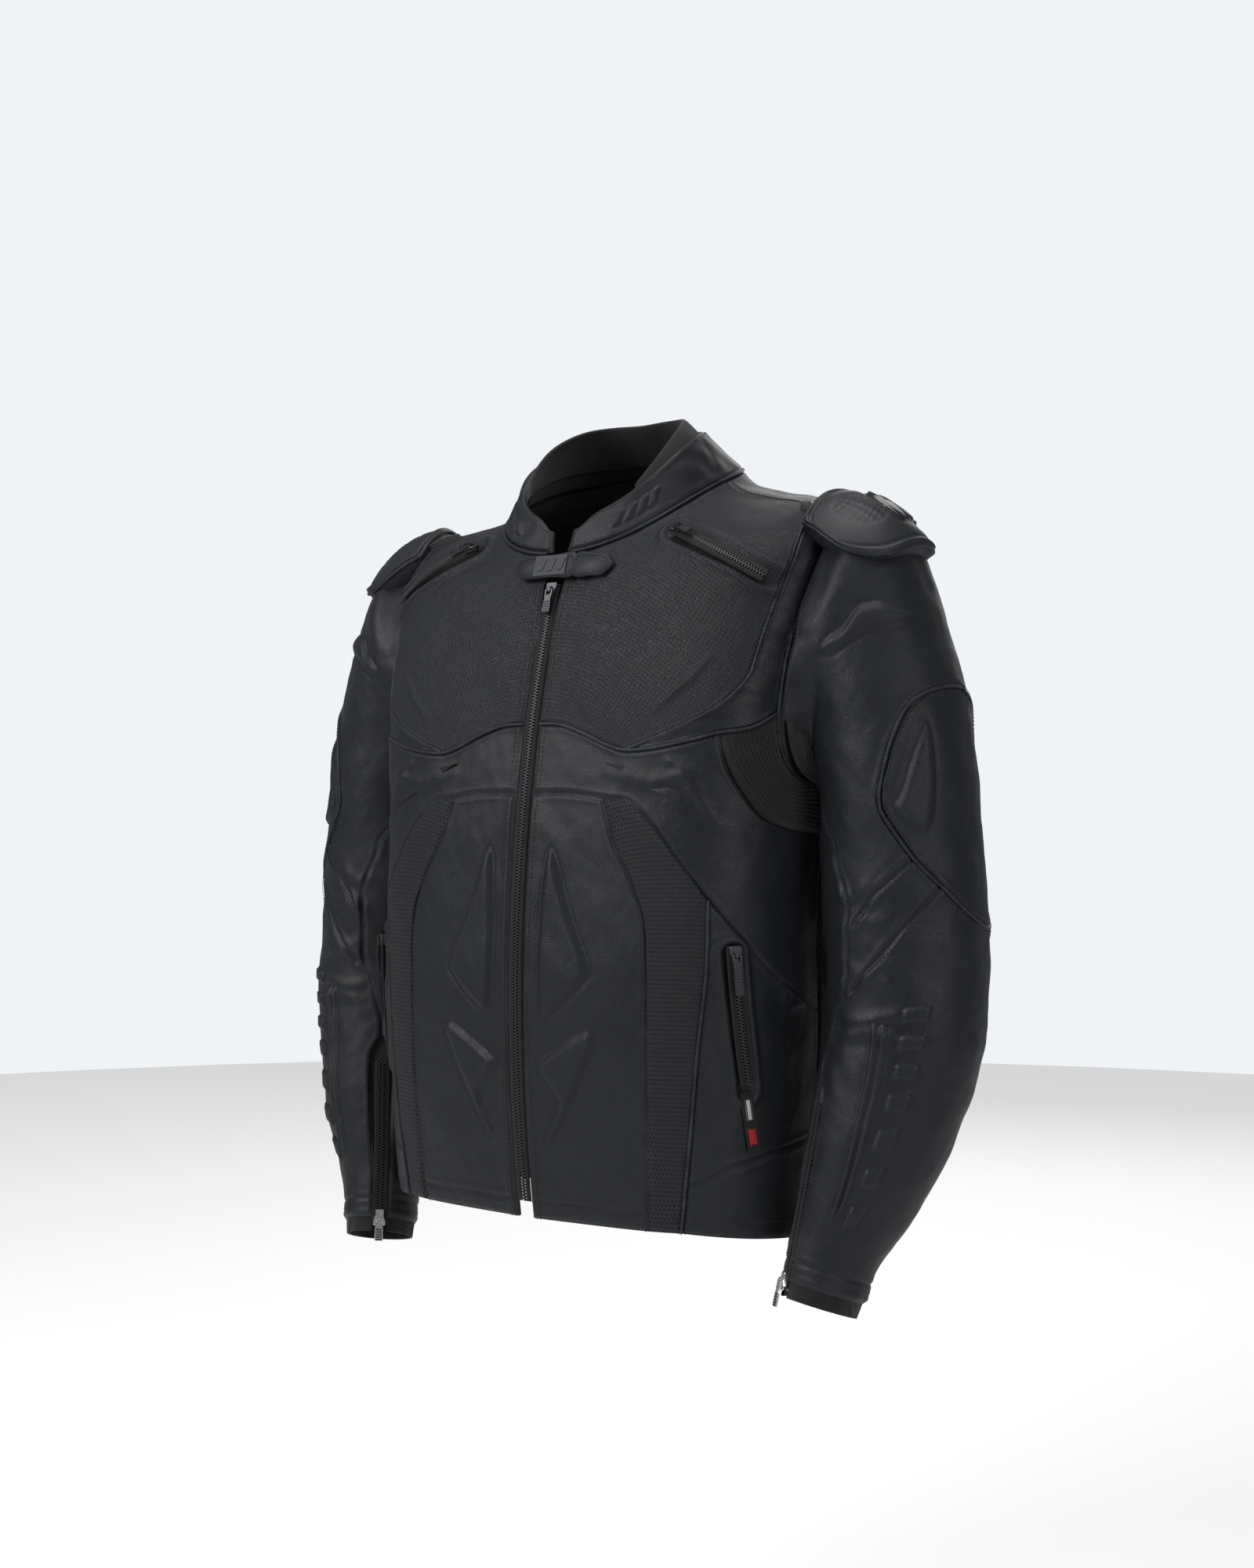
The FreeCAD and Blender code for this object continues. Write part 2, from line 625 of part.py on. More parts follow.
CUP_RIM = [(49, -3), (37, 22), (44, 41), (66, 50), (95, 52), (121, 47), (141, 26), (133, 4)]
CUP_INNER = [(51, -4), (72, -3), (91, 0), (110, 2), (131, 3)]


def shoulder_cup():
    fill = coons(CUP_RIM, CUP_INNER, [CUP_RIM[0], CUP_INNER[0]], [CUP_RIM[-1], CUP_INNER[-1]])
    grids = [[[cup_point(*fill(i / 14, j / 6), depth) for j in range(7)] for i in range(15)]
             for depth in (0.0, size("cup_thick"))]
    return slab(*grids)


def protectors():
    """The hard cup over each shoulder, and the foam armour inside the shoulder and the elbow."""
    pair("shoulder_cup", shoulder_cup())
    deep = size("leather_thick") + size("armour_gap")
    pad = sleeve_patch(rectangle(35, 145, 0.7, 2.6), 8, 6, size("armour_thick"), deep, 0.0)
    both("shoulder_armour", pad)
    pair("elbow_armour", sleeve_patch(rectangle(60, 158, ELBOW_LOW + 0.35, ELBOW + 2.6), 8, 6,
                                      size("armour_thick"), deep, 0.0))


# ---------------------------------------------------------------- zip fasteners


def arc_through(a, m, b):
    """Centre, unit axis and radius of the circle through three points, turning from a to b."""
    ab, am = b - a, m - a
    n = am.cross(ab)
    centre = a + (n.cross(am) * ab.Length ** 2 + ab.cross(n) * am.Length ** 2) * (0.5 / n.Length ** 2)
    axis = vec(n.x, n.y, n.z)
    axis.normalize()
    radius = (a - centre).Length
    if axis.cross(a - centre).dot(m - a) < 0:
        axis = axis * -1.0
    return centre, axis, radius


class Zip:
    """A zip along an arc: it is closed by its slider at start, and opens towards end."""

    def __init__(self, name, start, middle, end, face, half_opening):
        self.name = name
        self.centre, self.axis, self.radius = arc_through(start, middle, end)
        self.start = start
        self.angle = self.turn(start, end)
        self.half_opening = half_opening
        along_arc = self.axis.cross(start - self.centre)
        along_arc.normalize()
        self.y = along_arc * -1.0  # the closing direction
        self.z = face - self.y * face.dot(self.y)
        self.z.normalize()
        self.x = self.y.cross(self.z)

    def turn(self, a, b):
        u, w = a - self.centre, b - self.centre
        return math.atan2(self.axis.dot(u.cross(w)), u.dot(w))

    def placement(self):
        """The slider's frame at rest: x across, y the closing way, z out of the cloth."""
        m = FreeCAD.Matrix(self.x.x, self.y.x, self.z.x, self.start.x,
                           self.x.y, self.y.y, self.z.y, self.start.y,
                           self.x.z, self.y.z, self.z.z, self.start.z, 0, 0, 0, 1)
        return FreeCAD.Placement(m)

    def swept(self, x_low, x_high, z_low, z_high, over=0.0):
        """A bar of that cross-section along the whole arc, over mm past its start."""
        corners = [(x_low, z_low), (x_high, z_low), (x_high, z_high), (x_low, z_high), (x_low, z_low)]
        wire = Part.makePolygon([self.start + self.x * x + self.z * z for x, z in corners])
        face = Part.Face(wire)
        back = math.degrees(over / self.radius)
        face.rotate(self.centre, self.axis, -back)
        return face.revolve(self.centre, self.axis, math.degrees(self.angle) + back)

    def chain(self):
        """Two rows of teeth and their tapes, as four solids."""
        gap, wide = size("row_gap") / 2, size("row_width")
        row, tape = size("row_thick") / 2, size("tape_thick") / 2
        edge = gap + wide
        far = edge + size("tape_width")
        tail = size("slider_length") * 0.35
        solids = []
        for s in (-1, 1):
            rows = self.swept(*sorted((s * gap, s * edge)), -row, row, tail)
            cloth = self.swept(*sorted((s * (edge + 0.05), s * far)), -tape, tape, tail)
            solids += [rows, cloth]
        return solids

    def joint(self):
        """What a record says of the slider's travel."""
        travel = self.angle * 0.93
        return {"pos": self.centre, "axis": self.axis, "angle": math.degrees(travel)}


def surface_zip(name, surface, normal, start, middle, end, sink, half_opening):
    points = [surface(*q) - normal(*q) * sink for q in (start, middle, end)]
    return Zip(name, *points, normal(*start), half_opening)


ZIP_SINK = size("leather_thick") / 2 + 0.3
ZIP_LIFT = size("plate_space") / 2 + size("plate_thick") + 1.3  # clears the leather under it


def make_zips():
    top, bottom = 482.0, 14.0
    mid = (top + bottom) / 2
    on_front = [vec(0, front_y(z) + ZIP_SINK, z) for z in (top, mid, bottom)]
    facing = (on_front[0] - vec(0, size("front_pivot_y"), size("front_pivot_z")))
    facing.normalize()
    zips = {"main": Zip("main", *on_front, facing, size("zip_opening_half"))}
    chest = [front(100, 521), front(138, 504), front(174, 484)]
    zips["chest"] = surface_zip("chest", torso_point, torso_normal, *chest, -ZIP_LIFT - 1.5, 6.0)
    pocket = [side(-83, 207), side(-79, 160), side(-72, 112)]
    zips["pocket"] = surface_zip("pocket", torso_point, torso_normal, *pocket, -ZIP_LIFT, 6.0)
    cuff = [[front_seam(s), s] for s in (CUFF - 0.24, CUFF - 1.3, ZIP_TOP + 0.1)]
    zips["cuff"] = surface_zip("cuff", sleeve_point, sleeve_normal, *cuff, ZIP_SINK, 6.0)
    return zips


def bound_box(name, cells, position):
    """A Part::Box whose length, width and height are cells of the sheet."""
    box = doc.addObject("Part::Box", name)
    for prop, cell in zip(("Length", "Width", "Height"), cells):
        box.setExpression(prop, "sizes." + cell)
    for prop, cell in zip(("x", "y", "z"), position):
        box.setExpression("Placement.Base." + prop, cell)
    return box


def slider(label, placement):
    """A slider: two plates joined by a post that runs between the rows, and a bail on top."""
    space, plate = "sizes.plate_space", "sizes.plate_thick"
    middle = "-sizes.slider_width / 2"
    upper = bound_box(label + "_upper", ("slider_width", "slider_length", "plate_thick"),
                      (middle, "-sizes.slider_length / 2", space + " / 2"))
    lower = bound_box(label + "_lower", ("slider_width", "slider_length", "plate_thick"),
                      (middle, "-sizes.slider_length / 2", "-" + space + " / 2 - " + plate))
    post = bound_box(label + "_post", ("post_thick", "bail_length", "plate_space"),
                     ("-sizes.post_thick / 2", "-sizes.bail_length / 2", "-" + space + " / 2"))
    bail = bound_box(label + "_bail", ("bail_width", "bail_length", "bail_height"),
                     ("-sizes.bail_width / 2", "-sizes.bail_length / 2", space + " / 2 + " + plate))
    fuse = doc.addObject("Part::MultiFuse", label)
    fuse.Shapes = [upper, lower, post, bail]
    fuse.Label = label
    fuse.Placement = placement
    return fuse


def closed_sketch(body, points):
    """A closed outline on the body's XY plane, through points given in millimetres."""
    sketch = body.newObject("Sketcher::SketchObject", body.Name + "_outline")
    plane = [f for f in body.Origin.OriginFeatures if f.Role == "XY_Plane"][0]
    sketch.AttachmentSupport = (plane, "")
    sketch.MapMode = "FlatFace"
    ends = points[1:] + points[:1]
    for a, b in zip(points, ends):
        sketch.addGeometry(Part.LineSegment(vec(a[0], a[1], 0), vec(b[0], b[1], 0)), False)
    for i in range(len(points)):
        sketch.addConstraint(Sketcher.Constraint("Coincident", i, 2, (i + 1) % len(points), 1))
    return sketch


def rectangle_sketch(body, width, length, x_low, y_low):
    """A rectangle on the body's XY plane, its width and length bound to cells of the sheet."""
    w, h = size(width), size(length)
    corners = [(x_low, y_low), (x_low + w, y_low), (x_low + w, y_low + h), (x_low, y_low + h)]
    sketch = closed_sketch(body, corners)
    for i, way in enumerate(("Horizontal", "Vertical", "Horizontal", "Vertical")):
        sketch.addConstraint(Sketcher.Constraint(way, i))
    wide = sketch.addConstraint(Sketcher.Constraint("DistanceX", 0, 1, 0, 2, w))
    high = sketch.addConstraint(Sketcher.Constraint("DistanceY", 1, 1, 1, 2, h))
    sketch.addConstraint(Sketcher.Constraint("DistanceX", -1, 1, 0, 1, x_low))
    sketch.addConstraint(Sketcher.Constraint("DistanceY", -1, 1, 0, 1, y_low))
    sketch.setExpression("Constraints[%d]" % wide, "sizes." + width)
    sketch.setExpression("Constraints[%d]" % high, "sizes." + length)
    return sketch


def pull_tab(label, placement, length, hangs_past=False):
    """A flat fork that straddles the slider's bail; it lies on the chain, the opening way."""
    body = doc.addObject("PartDesign::Body", label)
    body.Label = label
    root = size("pull_root")
    plan = rectangle_sketch(body, "pull_width", length, -size("pull_width") / 2, root - size(length))
    pad = body.newObject("PartDesign::Pad", label + "_pad")
    pad.Profile = plan
    pad.setExpression("Length", "sizes.pull_thick")
    doc.recompute()
    slot = rectangle_sketch(body, "pull_slot_width", "pull_slot_length",
                            -size("pull_slot_width") / 2, root - size("pull_slot_length"))
    cut = body.newObject("PartDesign::Pocket", label + "_slot")
    cut.Profile = slot
    cut.Type = 1
    cut.Reversed = True
    body.Tip = cut
    lift = size("plate_space") / 2 + size("plate_thick") + size("pull_lift")
    turn = FreeCAD.Rotation(vec(0, 0, 1), 180 if hangs_past else 0)
    body.Placement = placement.multiply(FreeCAD.Placement(vec(0, 0, lift), turn))
    doc.recompute()
    whole = size("pull_width") * size(length) * size("pull_thick")
    if not body.Shape.Volume < whole - 1:
        raise RuntimeError(label + ": the slot cut nothing")
    return body


def mirror_placement(p):
    """The same slider on the other side: mirrored in x, then turned back to a right-handed frame."""
    m = p.toMatrix()
    return FreeCAD.Placement(FreeCAD.Matrix(
        m.A11, -m.A12, -m.A13, -m.A14, -m.A21, m.A22, m.A23, m.A24,
        -m.A31, m.A32, m.A33, m.A34, 0, 0, 0, 1))


def zip_parts(zips):
    feature("main_zip_chain", Part.makeCompound(zips["main"].chain()))
    slider("main_zip_slider", zips["main"].placement())
    pull_tab("main_zip_pull", zips["main"].placement(), "pull_short")
    pockets = zips["chest"].chain() + zips["pocket"].chain()
    feature("pocket_zip_chains", Part.makeCompound(pockets + [mirrored(s) for s in pockets]))
    pair("cuff_zip_chain", Part.makeCompound(zips["cuff"].chain()))
    for name, length in (("chest", "pull_short"), ("pocket", "pull_long"), ("cuff", "pull_short")):
        here = zips[name].placement()
        for hand, place in (("left", here), ("right", mirror_placement(here))):
            slider(name + "_zip_slider_" + hand, place)
            pull_tab(name + "_zip_pull_" + hand, place, length, name == "cuff")


# ---------------------------------------------------------------- latch across the zip's top


def latch_frame():
    """The latch's plane: x across, y up the body, z out of it."""
    z = size("latch_z")
    a, b = vec(0, front_y(z - 8), z - 8), vec(0, front_y(z + 8), z + 8)
    up = b - a
    up.normalize()
    out = vec(1, 0, 0).cross(up)
    at = (a + b) * 0.5 + out * size("latch_stand")
    m = FreeCAD.Matrix(1, up.x, out.x, at.x, 0, up.y, out.y, at.y, 0, up.z, out.z, at.z, 0, 0, 0, 1)
    return FreeCAD.Placement(m)


def plate(label, points, thick, placement):
    """A flat plate of that outline, as a PartDesign pad."""
    body = doc.addObject("PartDesign::Body", label)
    body.Label = label
    pad = body.newObject("PartDesign::Pad", label + "_pad")
    pad.Profile = closed_sketch(body, points)
    pad.setExpression("Length", "sizes." + thick)
    body.Placement = placement
    return body


def latch():
    place = latch_frame()
    h, tip, hinge = size("latch_height") / 2, size("latch_tip"), size("latch_hinge_x")
    far = hinge - size("latch_strap_length")
    plate("latch_strap", [(hinge - 0.4, -h), (hinge - 0.4, h), (far + tip * 0.4, h), (far, 0),
                          (far + tip * 0.4, -h)], "latch_thick", place)
    end = hinge + size("latch_anchor_length")
    bend = FreeCAD.Placement(vec(hinge, 0, 0), FreeCAD.Rotation(vec(0, 1, 0), size("latch_bend")))
    back = FreeCAD.Placement(vec(-hinge, 0, 0), FreeCAD.Rotation())
    plate("latch_anchor", [(hinge, -h), (end - tip, -h), (end, 0), (end - tip, h), (hinge, h)],
          "latch_thick", place.multiply(bend).multiply(back))
    badge = size("badge_length")
    x_low = hinge - 7 - badge
    over = FreeCAD.Placement(vec(0, 0, size("latch_thick")), FreeCAD.Rotation())
    plate("latch_badge", [(x_low, -h + 1), (x_low + badge, -h + 1), (x_low + badge, h - 1),
                          (x_low, h - 1)], "badge_thick", place.multiply(over))
    stud = doc.addObject("Part::Cylinder", "latch_stud")
    stud.Label = "latch_stud"
    stud.setExpression("Radius", "sizes.stud_radius")
    stud.setExpression("Height", "sizes.stud_height")
    spot = vec(far + 16, 0, -size("stud_height") - 0.4)
    stud.Placement = place.multiply(FreeCAD.Placement(spot, FreeCAD.Rotation()))


# ---------------------------------------------------------------- small trim


def trim():
    """A cloth label at the lower end of the left pocket, and the loop that hangs the jacket up."""
    label = coons([side(-69, 62), side(-60, 62)], [side(-77, 106), side(-68, 106)],
                  [side(-69, 62), side(-77, 106)], [side(-60, 62), side(-68, 106)])
    feature("pocket_label", body_patch(label, 3, 5, size("label_thick"), -1.3))
    loop = doc.addObject("Part::Torus", "hanger_loop")
    loop.Label = "hanger_loop"
    loop.setExpression("Radius1", "sizes.loop_radius")
    loop.setExpression("Radius2", "sizes.loop_tube")
    loop.Angle3 = 180
    loop.Placement = FreeCAD.Placement(vec(0, size("neck_y_back") - 9.5, size("neck_z_back") - 6),
                                       FreeCAD.Rotation(vec(1, 0, 0), -90))


# ---------------------------------------------------------------- build, check and write


def check_and_write(nodes):
    for obj in doc.Objects:
        if "Invalid" in obj.State or "Error" in obj.State:
            raise RuntimeError(obj.Name + " failed: " + str(obj.State))
    os.makedirs("parts", exist_ok=True)
    for old in os.listdir("parts"):
        if old.endswith(".step") and old[:-5] not in nodes:
            os.remove(os.path.join("parts", old))
    for label in sorted(nodes):
        shape = nodes[label].Shape
        if shape.isNull() or not shape.isValid() or shape.Volume <= 0:
            raise RuntimeError(label + " has no valid solid")
        shape.exportStep(os.path.join("parts", label + ".step"))
    print(len(nodes), "nodes written")


def sub_parts():
    """The objects that are pieces of the jacket, by their label."""
    inner = set()
    for obj in doc.Objects:
        if obj.TypeId == "Part::MultiFuse":
            inner.update(o.Name for o in obj.Shapes)
    kinds = ("Part::Feature", "Part::MultiFuse", "Part::Cylinder", "Part::Torus", "PartDesign::Body")
    return {o.Label: o for o in doc.Objects if o.TypeId in kinds and o.Name not in inner}


front_panels()
back_panels()
collar()
lining()
sleeves()
protectors()
ZIPS = make_zips()
zip_parts(ZIPS)
latch()
trim()
doc.recompute()
NODES = sub_parts()
check_and_write(NODES)
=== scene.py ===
"""A leather motorcycle jacket in its worn shape, laid out as a Blender add-on.

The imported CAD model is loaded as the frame.  The soft panels are then rebuilt with seams, piping,
stitches, embossing and grain, and the hardware is rebuilt with its fine shapes.  Sizes in the
tables are millimetres, as in the part's own source; meshes are written in metres.
"""

import math

import bpy
import numpy as np
from bpy.props import FloatProperty, FloatVectorProperty, IntProperty, PointerProperty
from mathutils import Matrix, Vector


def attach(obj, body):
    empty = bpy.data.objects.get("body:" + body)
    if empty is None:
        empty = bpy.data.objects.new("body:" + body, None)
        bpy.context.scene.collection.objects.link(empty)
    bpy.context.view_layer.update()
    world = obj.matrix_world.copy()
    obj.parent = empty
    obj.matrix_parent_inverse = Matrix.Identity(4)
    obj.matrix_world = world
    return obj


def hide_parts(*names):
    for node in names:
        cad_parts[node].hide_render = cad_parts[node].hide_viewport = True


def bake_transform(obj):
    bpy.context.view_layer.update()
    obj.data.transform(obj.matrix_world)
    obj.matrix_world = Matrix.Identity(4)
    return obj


bl_info = {
    "name": "Riding Jacket",
    "version": (1, 0, 0),
    "blender": (4, 5, 0),
    "location": "3D View > Sidebar > Jacket",
    "description": "Builds a leather riding jacket panel by panel round its packed frame",
    "category": "Object",
}

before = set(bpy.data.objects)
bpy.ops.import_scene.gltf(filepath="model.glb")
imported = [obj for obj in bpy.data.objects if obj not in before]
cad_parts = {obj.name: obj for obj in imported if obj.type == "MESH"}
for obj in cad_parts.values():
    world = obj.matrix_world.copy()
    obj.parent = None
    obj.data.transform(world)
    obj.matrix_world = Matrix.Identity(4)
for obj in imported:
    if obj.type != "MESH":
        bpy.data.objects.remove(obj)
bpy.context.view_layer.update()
SIDES = ("left", "right")
MM = 0.001
BODY_MIDDLE = (0, 10, 260)
STITCH_LIFT, HEM_STITCH = 0.15, 13.0
# a stitch's rings: share of its length, share of its radius, and lift in radii
STITCH_SIDES = 5
STITCH_RINGS = ((-0.5, 0.25, -0.25), (-0.22, 1.0, 0.25), (0.22, 1.0, 0.25), (0.5, 0.25, -0.25))

# ---------------------------------------------------------------- shape of the body and sleeves

# height at front, side and back, half width, back depth, squareness, side set-back
TORSO_STATIONS = np.array([
    (0, -12, -18, 185, 118, 0.05, 0),
    (70, 70, 70, 185, 115, 0.05, 0),
    (150, 150, 150, 186, 111, 0.05, 0),
    (230, 230, 230, 186, 110, 0.055, 0),
    (300, 298, 300, 187, 114, 0.06, 0),
    (350, 345, 350, 188, 120, 0.075, 2),
    (395, 390, 395, 190, 124, 0.09, 5),
    (432, 435, 440, 193, 123, 0.09, 10),
    (462, 480, 485, 196, 117, 0.085, 16),
    (482, 518, 522, 198, 110, 0.08, 22),
    (494, 541, 545, 188, 102, 0.07, 26),
    (501, 551, 558, 164, 98, 0.06, 24),
    (506, 557, 569, 130, 98, 0.05, 17),
    (509, 562, 580, 108, 100, 0.045, 9),
    (512, 571, 595, 92, 102, 0.04, 3),
], float)
NECK = float(len(TORSO_STATIONS) - 1)
FRONT_RADIUS, FRONT_PIVOT_Y, FRONT_PIVOT_Z = 1072.0, 944.0, 170.0

# centre x, y, z, tilt out, lean forward (degrees), half width, half depth
SLEEVE_RINGS = np.array([
    (211.5, 27, 432.8, 78.3, 0, 106, 66),
    (224, 27, 416.5, 69.6, 0, 97.6, 66),
    (234.5, 26, 385.5, 57.4, 0, 82.5, 65.5),
    (244.5, 25, 344, 37, 0, 68, 64.5),
    (249, 23, 295.5, 13.6, 0, 61.7, 63),
    (252.5, 21, 241, 3.7, 2, 61.6, 62),
    (255, 20, 185, 0, 5, 61, 62),
    (254, 13, 140, -3, 10, 59, 60),
    (249, 3, 95, -6, 15, 55, 56),
    (237.5, -13, 40, -8, 17, 46, 47),
    (222, -29, -12, -9, 17, 34, 36),
    (215, -40, -50, -9, 17, 30, 32),
], float)
CUFF = float(len(SLEEVE_RINGS))
# ring parameter and angle in degrees of the seam down the sleeve's front
FRONT_SEAM = np.array([(0, -72), (2, -70), (3.4, -60), (4.4, -42), (5.2, -26), (6.0, -15), (7.0, -18),
                       (7.8, -31), (8.6, -39), (9.2, -41), (12, -41)], float)
BACK_SEAM = math.radians(168)
ZIP_TOP, ZIP_ROOM = 9.15, math.radians(10.5)


def spline(rows, t):
    """Rows of numbers at parameters t of a Catmull-Rom curve, one row per unit."""
    rows, t = np.asarray(rows, float), np.asarray(t, float)
    i = np.clip(np.floor(t).astype(int), 0, len(rows) - 2)
    f = (t - i)[..., None]
    ends = np.vstack([2 * rows[:1] - rows[1:2], rows, 2 * rows[-1:] - rows[-2:-1]])
    p0, p1, p2, p3 = ends[i], ends[i + 1], ends[i + 2], ends[i + 3]
    return catmull(p0, p1, p2, p3, f)


def catmull(p0, p1, p2, p3, f):
    return ((-0.5 * f + f * f - 0.5 * f ** 3) * p0 + (1 - 2.5 * f * f + 1.5 * f ** 3) * p1
            + (0.5 * f + 2 * f * f - 1.5 * f ** 3) * p2 + (-0.5 * f * f + 0.5 * f ** 3) * p3)


FOLD_LOW, FOLD_HIGH = np.array((195.0, -32, 436)), np.array((195.0, 33, 526))


def filled(p):
    """Points with the hollow in front of the shoulder filled, where the sleeve's head pushes it out."""
    q = p * np.where(p[..., :1] < 0, -1.0, 1.0) ** np.array((1, 0, 0))
    run = FOLD_HIGH - FOLD_LOW
    t = np.clip(((q - FOLD_LOW) @ run) / (run @ run), 0, 1)
    far = np.linalg.norm(q - FOLD_LOW - t[..., None] * run, axis=-1)
    push = (6 + 28 * t) * np.exp(-(far / 27) ** 2)
    return p + push[..., None] * np.array((0.0, -0.99, 0.12))


def torso_skin(phi, v):
    return filled(body_point(phi, v))


def sleeve_skin(psi, s):
    return filled(sleeve_point(psi, s))


def along(points, t):
    """The point at share t, from 0 to 1, of a smooth curve through points."""
    return spline(points, np.asarray(t, float) * (len(points) - 1))


def front_y(z):
    """The front centre line's y at height z."""
    return FRONT_PIVOT_Y - np.sqrt(FRONT_RADIUS ** 2 - (z - FRONT_PIVOT_Z) ** 2)


def body_point(phi, v):
    """The body's surface: phi runs round it from the front centre, v counts stations up."""
    z_front, z_side, z_back, half, y_back, square, set_back = np.moveaxis(
        spline(TORSO_STATIONS, v), -1, 0)
    c, s = np.cos(phi), np.sin(phi)
    y_front = front_y(z_front)
    middle, depth = (y_front + y_back) / 2, (y_back - y_front) / 2
    x = half * (s + square * np.sin(3 * phi)) / (1 - square)
    y = middle - depth * (c - square * np.cos(3 * phi)) / (1 - square) + set_back * s * s
    z = z_side - (z_back - z_front) / 2 * c + ((z_front + z_back) / 2 - z_side) * c * c
    return np.stack([x, y, z], -1)


def ring_point(index, psi):
    """A point of the armhole (index 0) or of a sleeve ring: psi 0 is in front, 90 outside."""
    row = SLEEVE_RINGS[np.maximum(index - 1, 0)]
    x, y, z, tilt, lean, half_width, half_depth = np.moveaxis(row, -1, 0)
    a, b = np.radians(tilt), np.radians(lean)
    out, fore = half_width * np.sin(psi), half_depth * np.cos(psi)
    ring = np.stack([x + out * np.cos(a), y - fore * np.cos(b),
                     z + out * np.sin(a) + fore * np.sin(b)], -1)
    share = np.mod((math.pi / 2 - psi) / (2 * math.pi), 1.0)
    hole = along(ARMHOLE, share)
    return np.where((index == 0)[..., None], body_point(hole[..., 0], hole[..., 1]), ring)


def sleeve_point(psi, s):
    """The left sleeve's surface: psi runs round it, s counts rings from armhole to cuff."""
    psi, s = np.broadcast_arrays(np.asarray(psi, float), np.asarray(s, float))
    last = len(SLEEVE_RINGS)
    i = np.clip(np.floor(s).astype(int), 0, last - 1)
    f = (s - i)[..., None]
    p1, p2 = ring_point(i, psi), ring_point(i + 1, psi)
    p0 = np.where((i > 0)[..., None], ring_point(np.maximum(i - 1, 0), psi), 2 * p1 - p2)
    p3 = np.where((i + 2 <= last)[..., None], ring_point(np.minimum(i + 2, last), psi), 2 * p2 - p1)
    return catmull(p0, p1, p2, p3, f)


def collar_point(phi, w):
    """The collar's outside: w 0 is its seam, and w 1 the top of its leather."""
    p = body_point(phi, np.full_like(phi, NECK))
    lean = 1.0 - w * (0.25 - 0.17 * np.cos(phi))
    grow = 26.0 + 18 * np.sin(phi) ** 2 * (0.6 + 0.4 * np.cos(phi))
    return np.stack([p[..., 0] * lean, 15 + (p[..., 1] - 15) * lean, p[..., 2] + 1.8 + grow * w], -1)


def level(phi, z):
    """The station parameter at which the body is z high at phi."""
    low, high = np.zeros_like(phi), np.full_like(phi, NECK)
    for _ in range(32):
        mid = (low + high) / 2
        under = body_point(phi, mid)[..., 2] < z
        low, high = np.where(under, mid, low), np.where(under, high, mid)
    return (low + high) / 2


REACH = {"front": (0, 80, 0), "side": (25, 155, 1), "back": (100, 180, 0)}


def on_body(*places):
    """(phi, v) of places given as ("front", x, z), ("side", y, z) or ("back", x, z)."""
    low = np.radians([REACH[p[0]][0] for p in places])
    high = np.radians([REACH[p[0]][1] for p in places])
    axis = np.array([REACH[p[0]][2] for p in places])
    target, z = np.array([p[1] for p in places], float), np.array([p[2] for p in places], float)
    rows = np.arange(len(places))

    def measure(phi):
        return body_point(phi, level(phi, z))[rows, axis]

    rising = measure(high) > measure(low)
    for _ in range(32):
        mid = (low + high) / 2
        up = (measure(mid) < target) == rising
        low, high = np.where(up, mid, low), np.where(up, high, mid)
    phi = (low + high) / 2
    return np.stack([phi, level(phi, z)], -1)


def front(*pairs):
    return on_body(*[("front", x, z) for x, z in pairs])


def side(*pairs):
    return on_body(*[("side", y, z) for y, z in pairs])


def back(*pairs):
    return on_body(*[("back", x, z) for x, z in pairs])


def rad(degrees, v):
    return np.array([[math.radians(degrees), v]])


def chain(*runs):
    return np.vstack(runs)


# ---------------------------------------------------------------- seams of the left half

EDGE_X, SIDE_Y, BACK_SIDE_Y, BACK_X = 7.2, 13.0, 58.0, 92.0
LUMBAR_LOW, LUMBAR_HIGH, YOKE_Z = 118.0, 205.0, 492.0
ARMHOLE = side((41, 540), (31, 517), (9, 489), (-18, 459), (-38, 424), (-48, 384), (-42, 355),
               (-22, 337), (13, 331), (58, 344), (78, 378), (91, 422), (97, 465), (92, 504),
               (70, 530), (41, 540))
WAVE = front((EDGE_X, 378), (28, 377), (50, 370), (72, 361), (88, 357))
BAND_TOP = chain(WAVE[-1:], front((109, 358), (127, 361), (144, 365)), side((-88, 369)))
GUSSET_TOP = side((-88, 369), (-70, 373), (-48, 384))
CHEST_OUTER = chain(front((88, 357), (138, 377), (161, 392)),
                    side((-71, 410), (-64, 426), (-54, 450), (-44, 471), (-33, 495), (-14, 520),
                         (19, 539)))
SHOULDER_SEAM = chain(side((19, 539)), rad(87, NECK - 2.5), rad(91, NECK - 1.2), rad(95, NECK))
ARC = front((EDGE_X, 325), (40, 325), (72, 321))
ARC_STRIP = front((72, 321), (93, 318), (113, 303), (131, 280), (154, 247))
ARC_SIDE = chain(front((154, 247)), side((-75, 217), (-47, 190), (-17, 172), (13, 160)))
STRIP_INNER = front((107, 1), (111, 90), (112, 216), (101, 257), (84, 287), (72, 321))
STRIP_OUTER = front((131, 1), (141, 74), (147, 135), (153, 195), (154, 247))
GUSSET_EDGE = side((-88, 369), (-84, 346), (-76, 328), (-61, 309), (-35, 299), (13, 291))


def hem(low, high):
    return np.stack([np.linspace(low, high, 5), np.zeros(5)], -1)


def turned(points):
    """The same (phi, v) points on the right half of the body."""
    return np.stack([2 * math.pi - points[:, 0], points[:, 1]], -1)


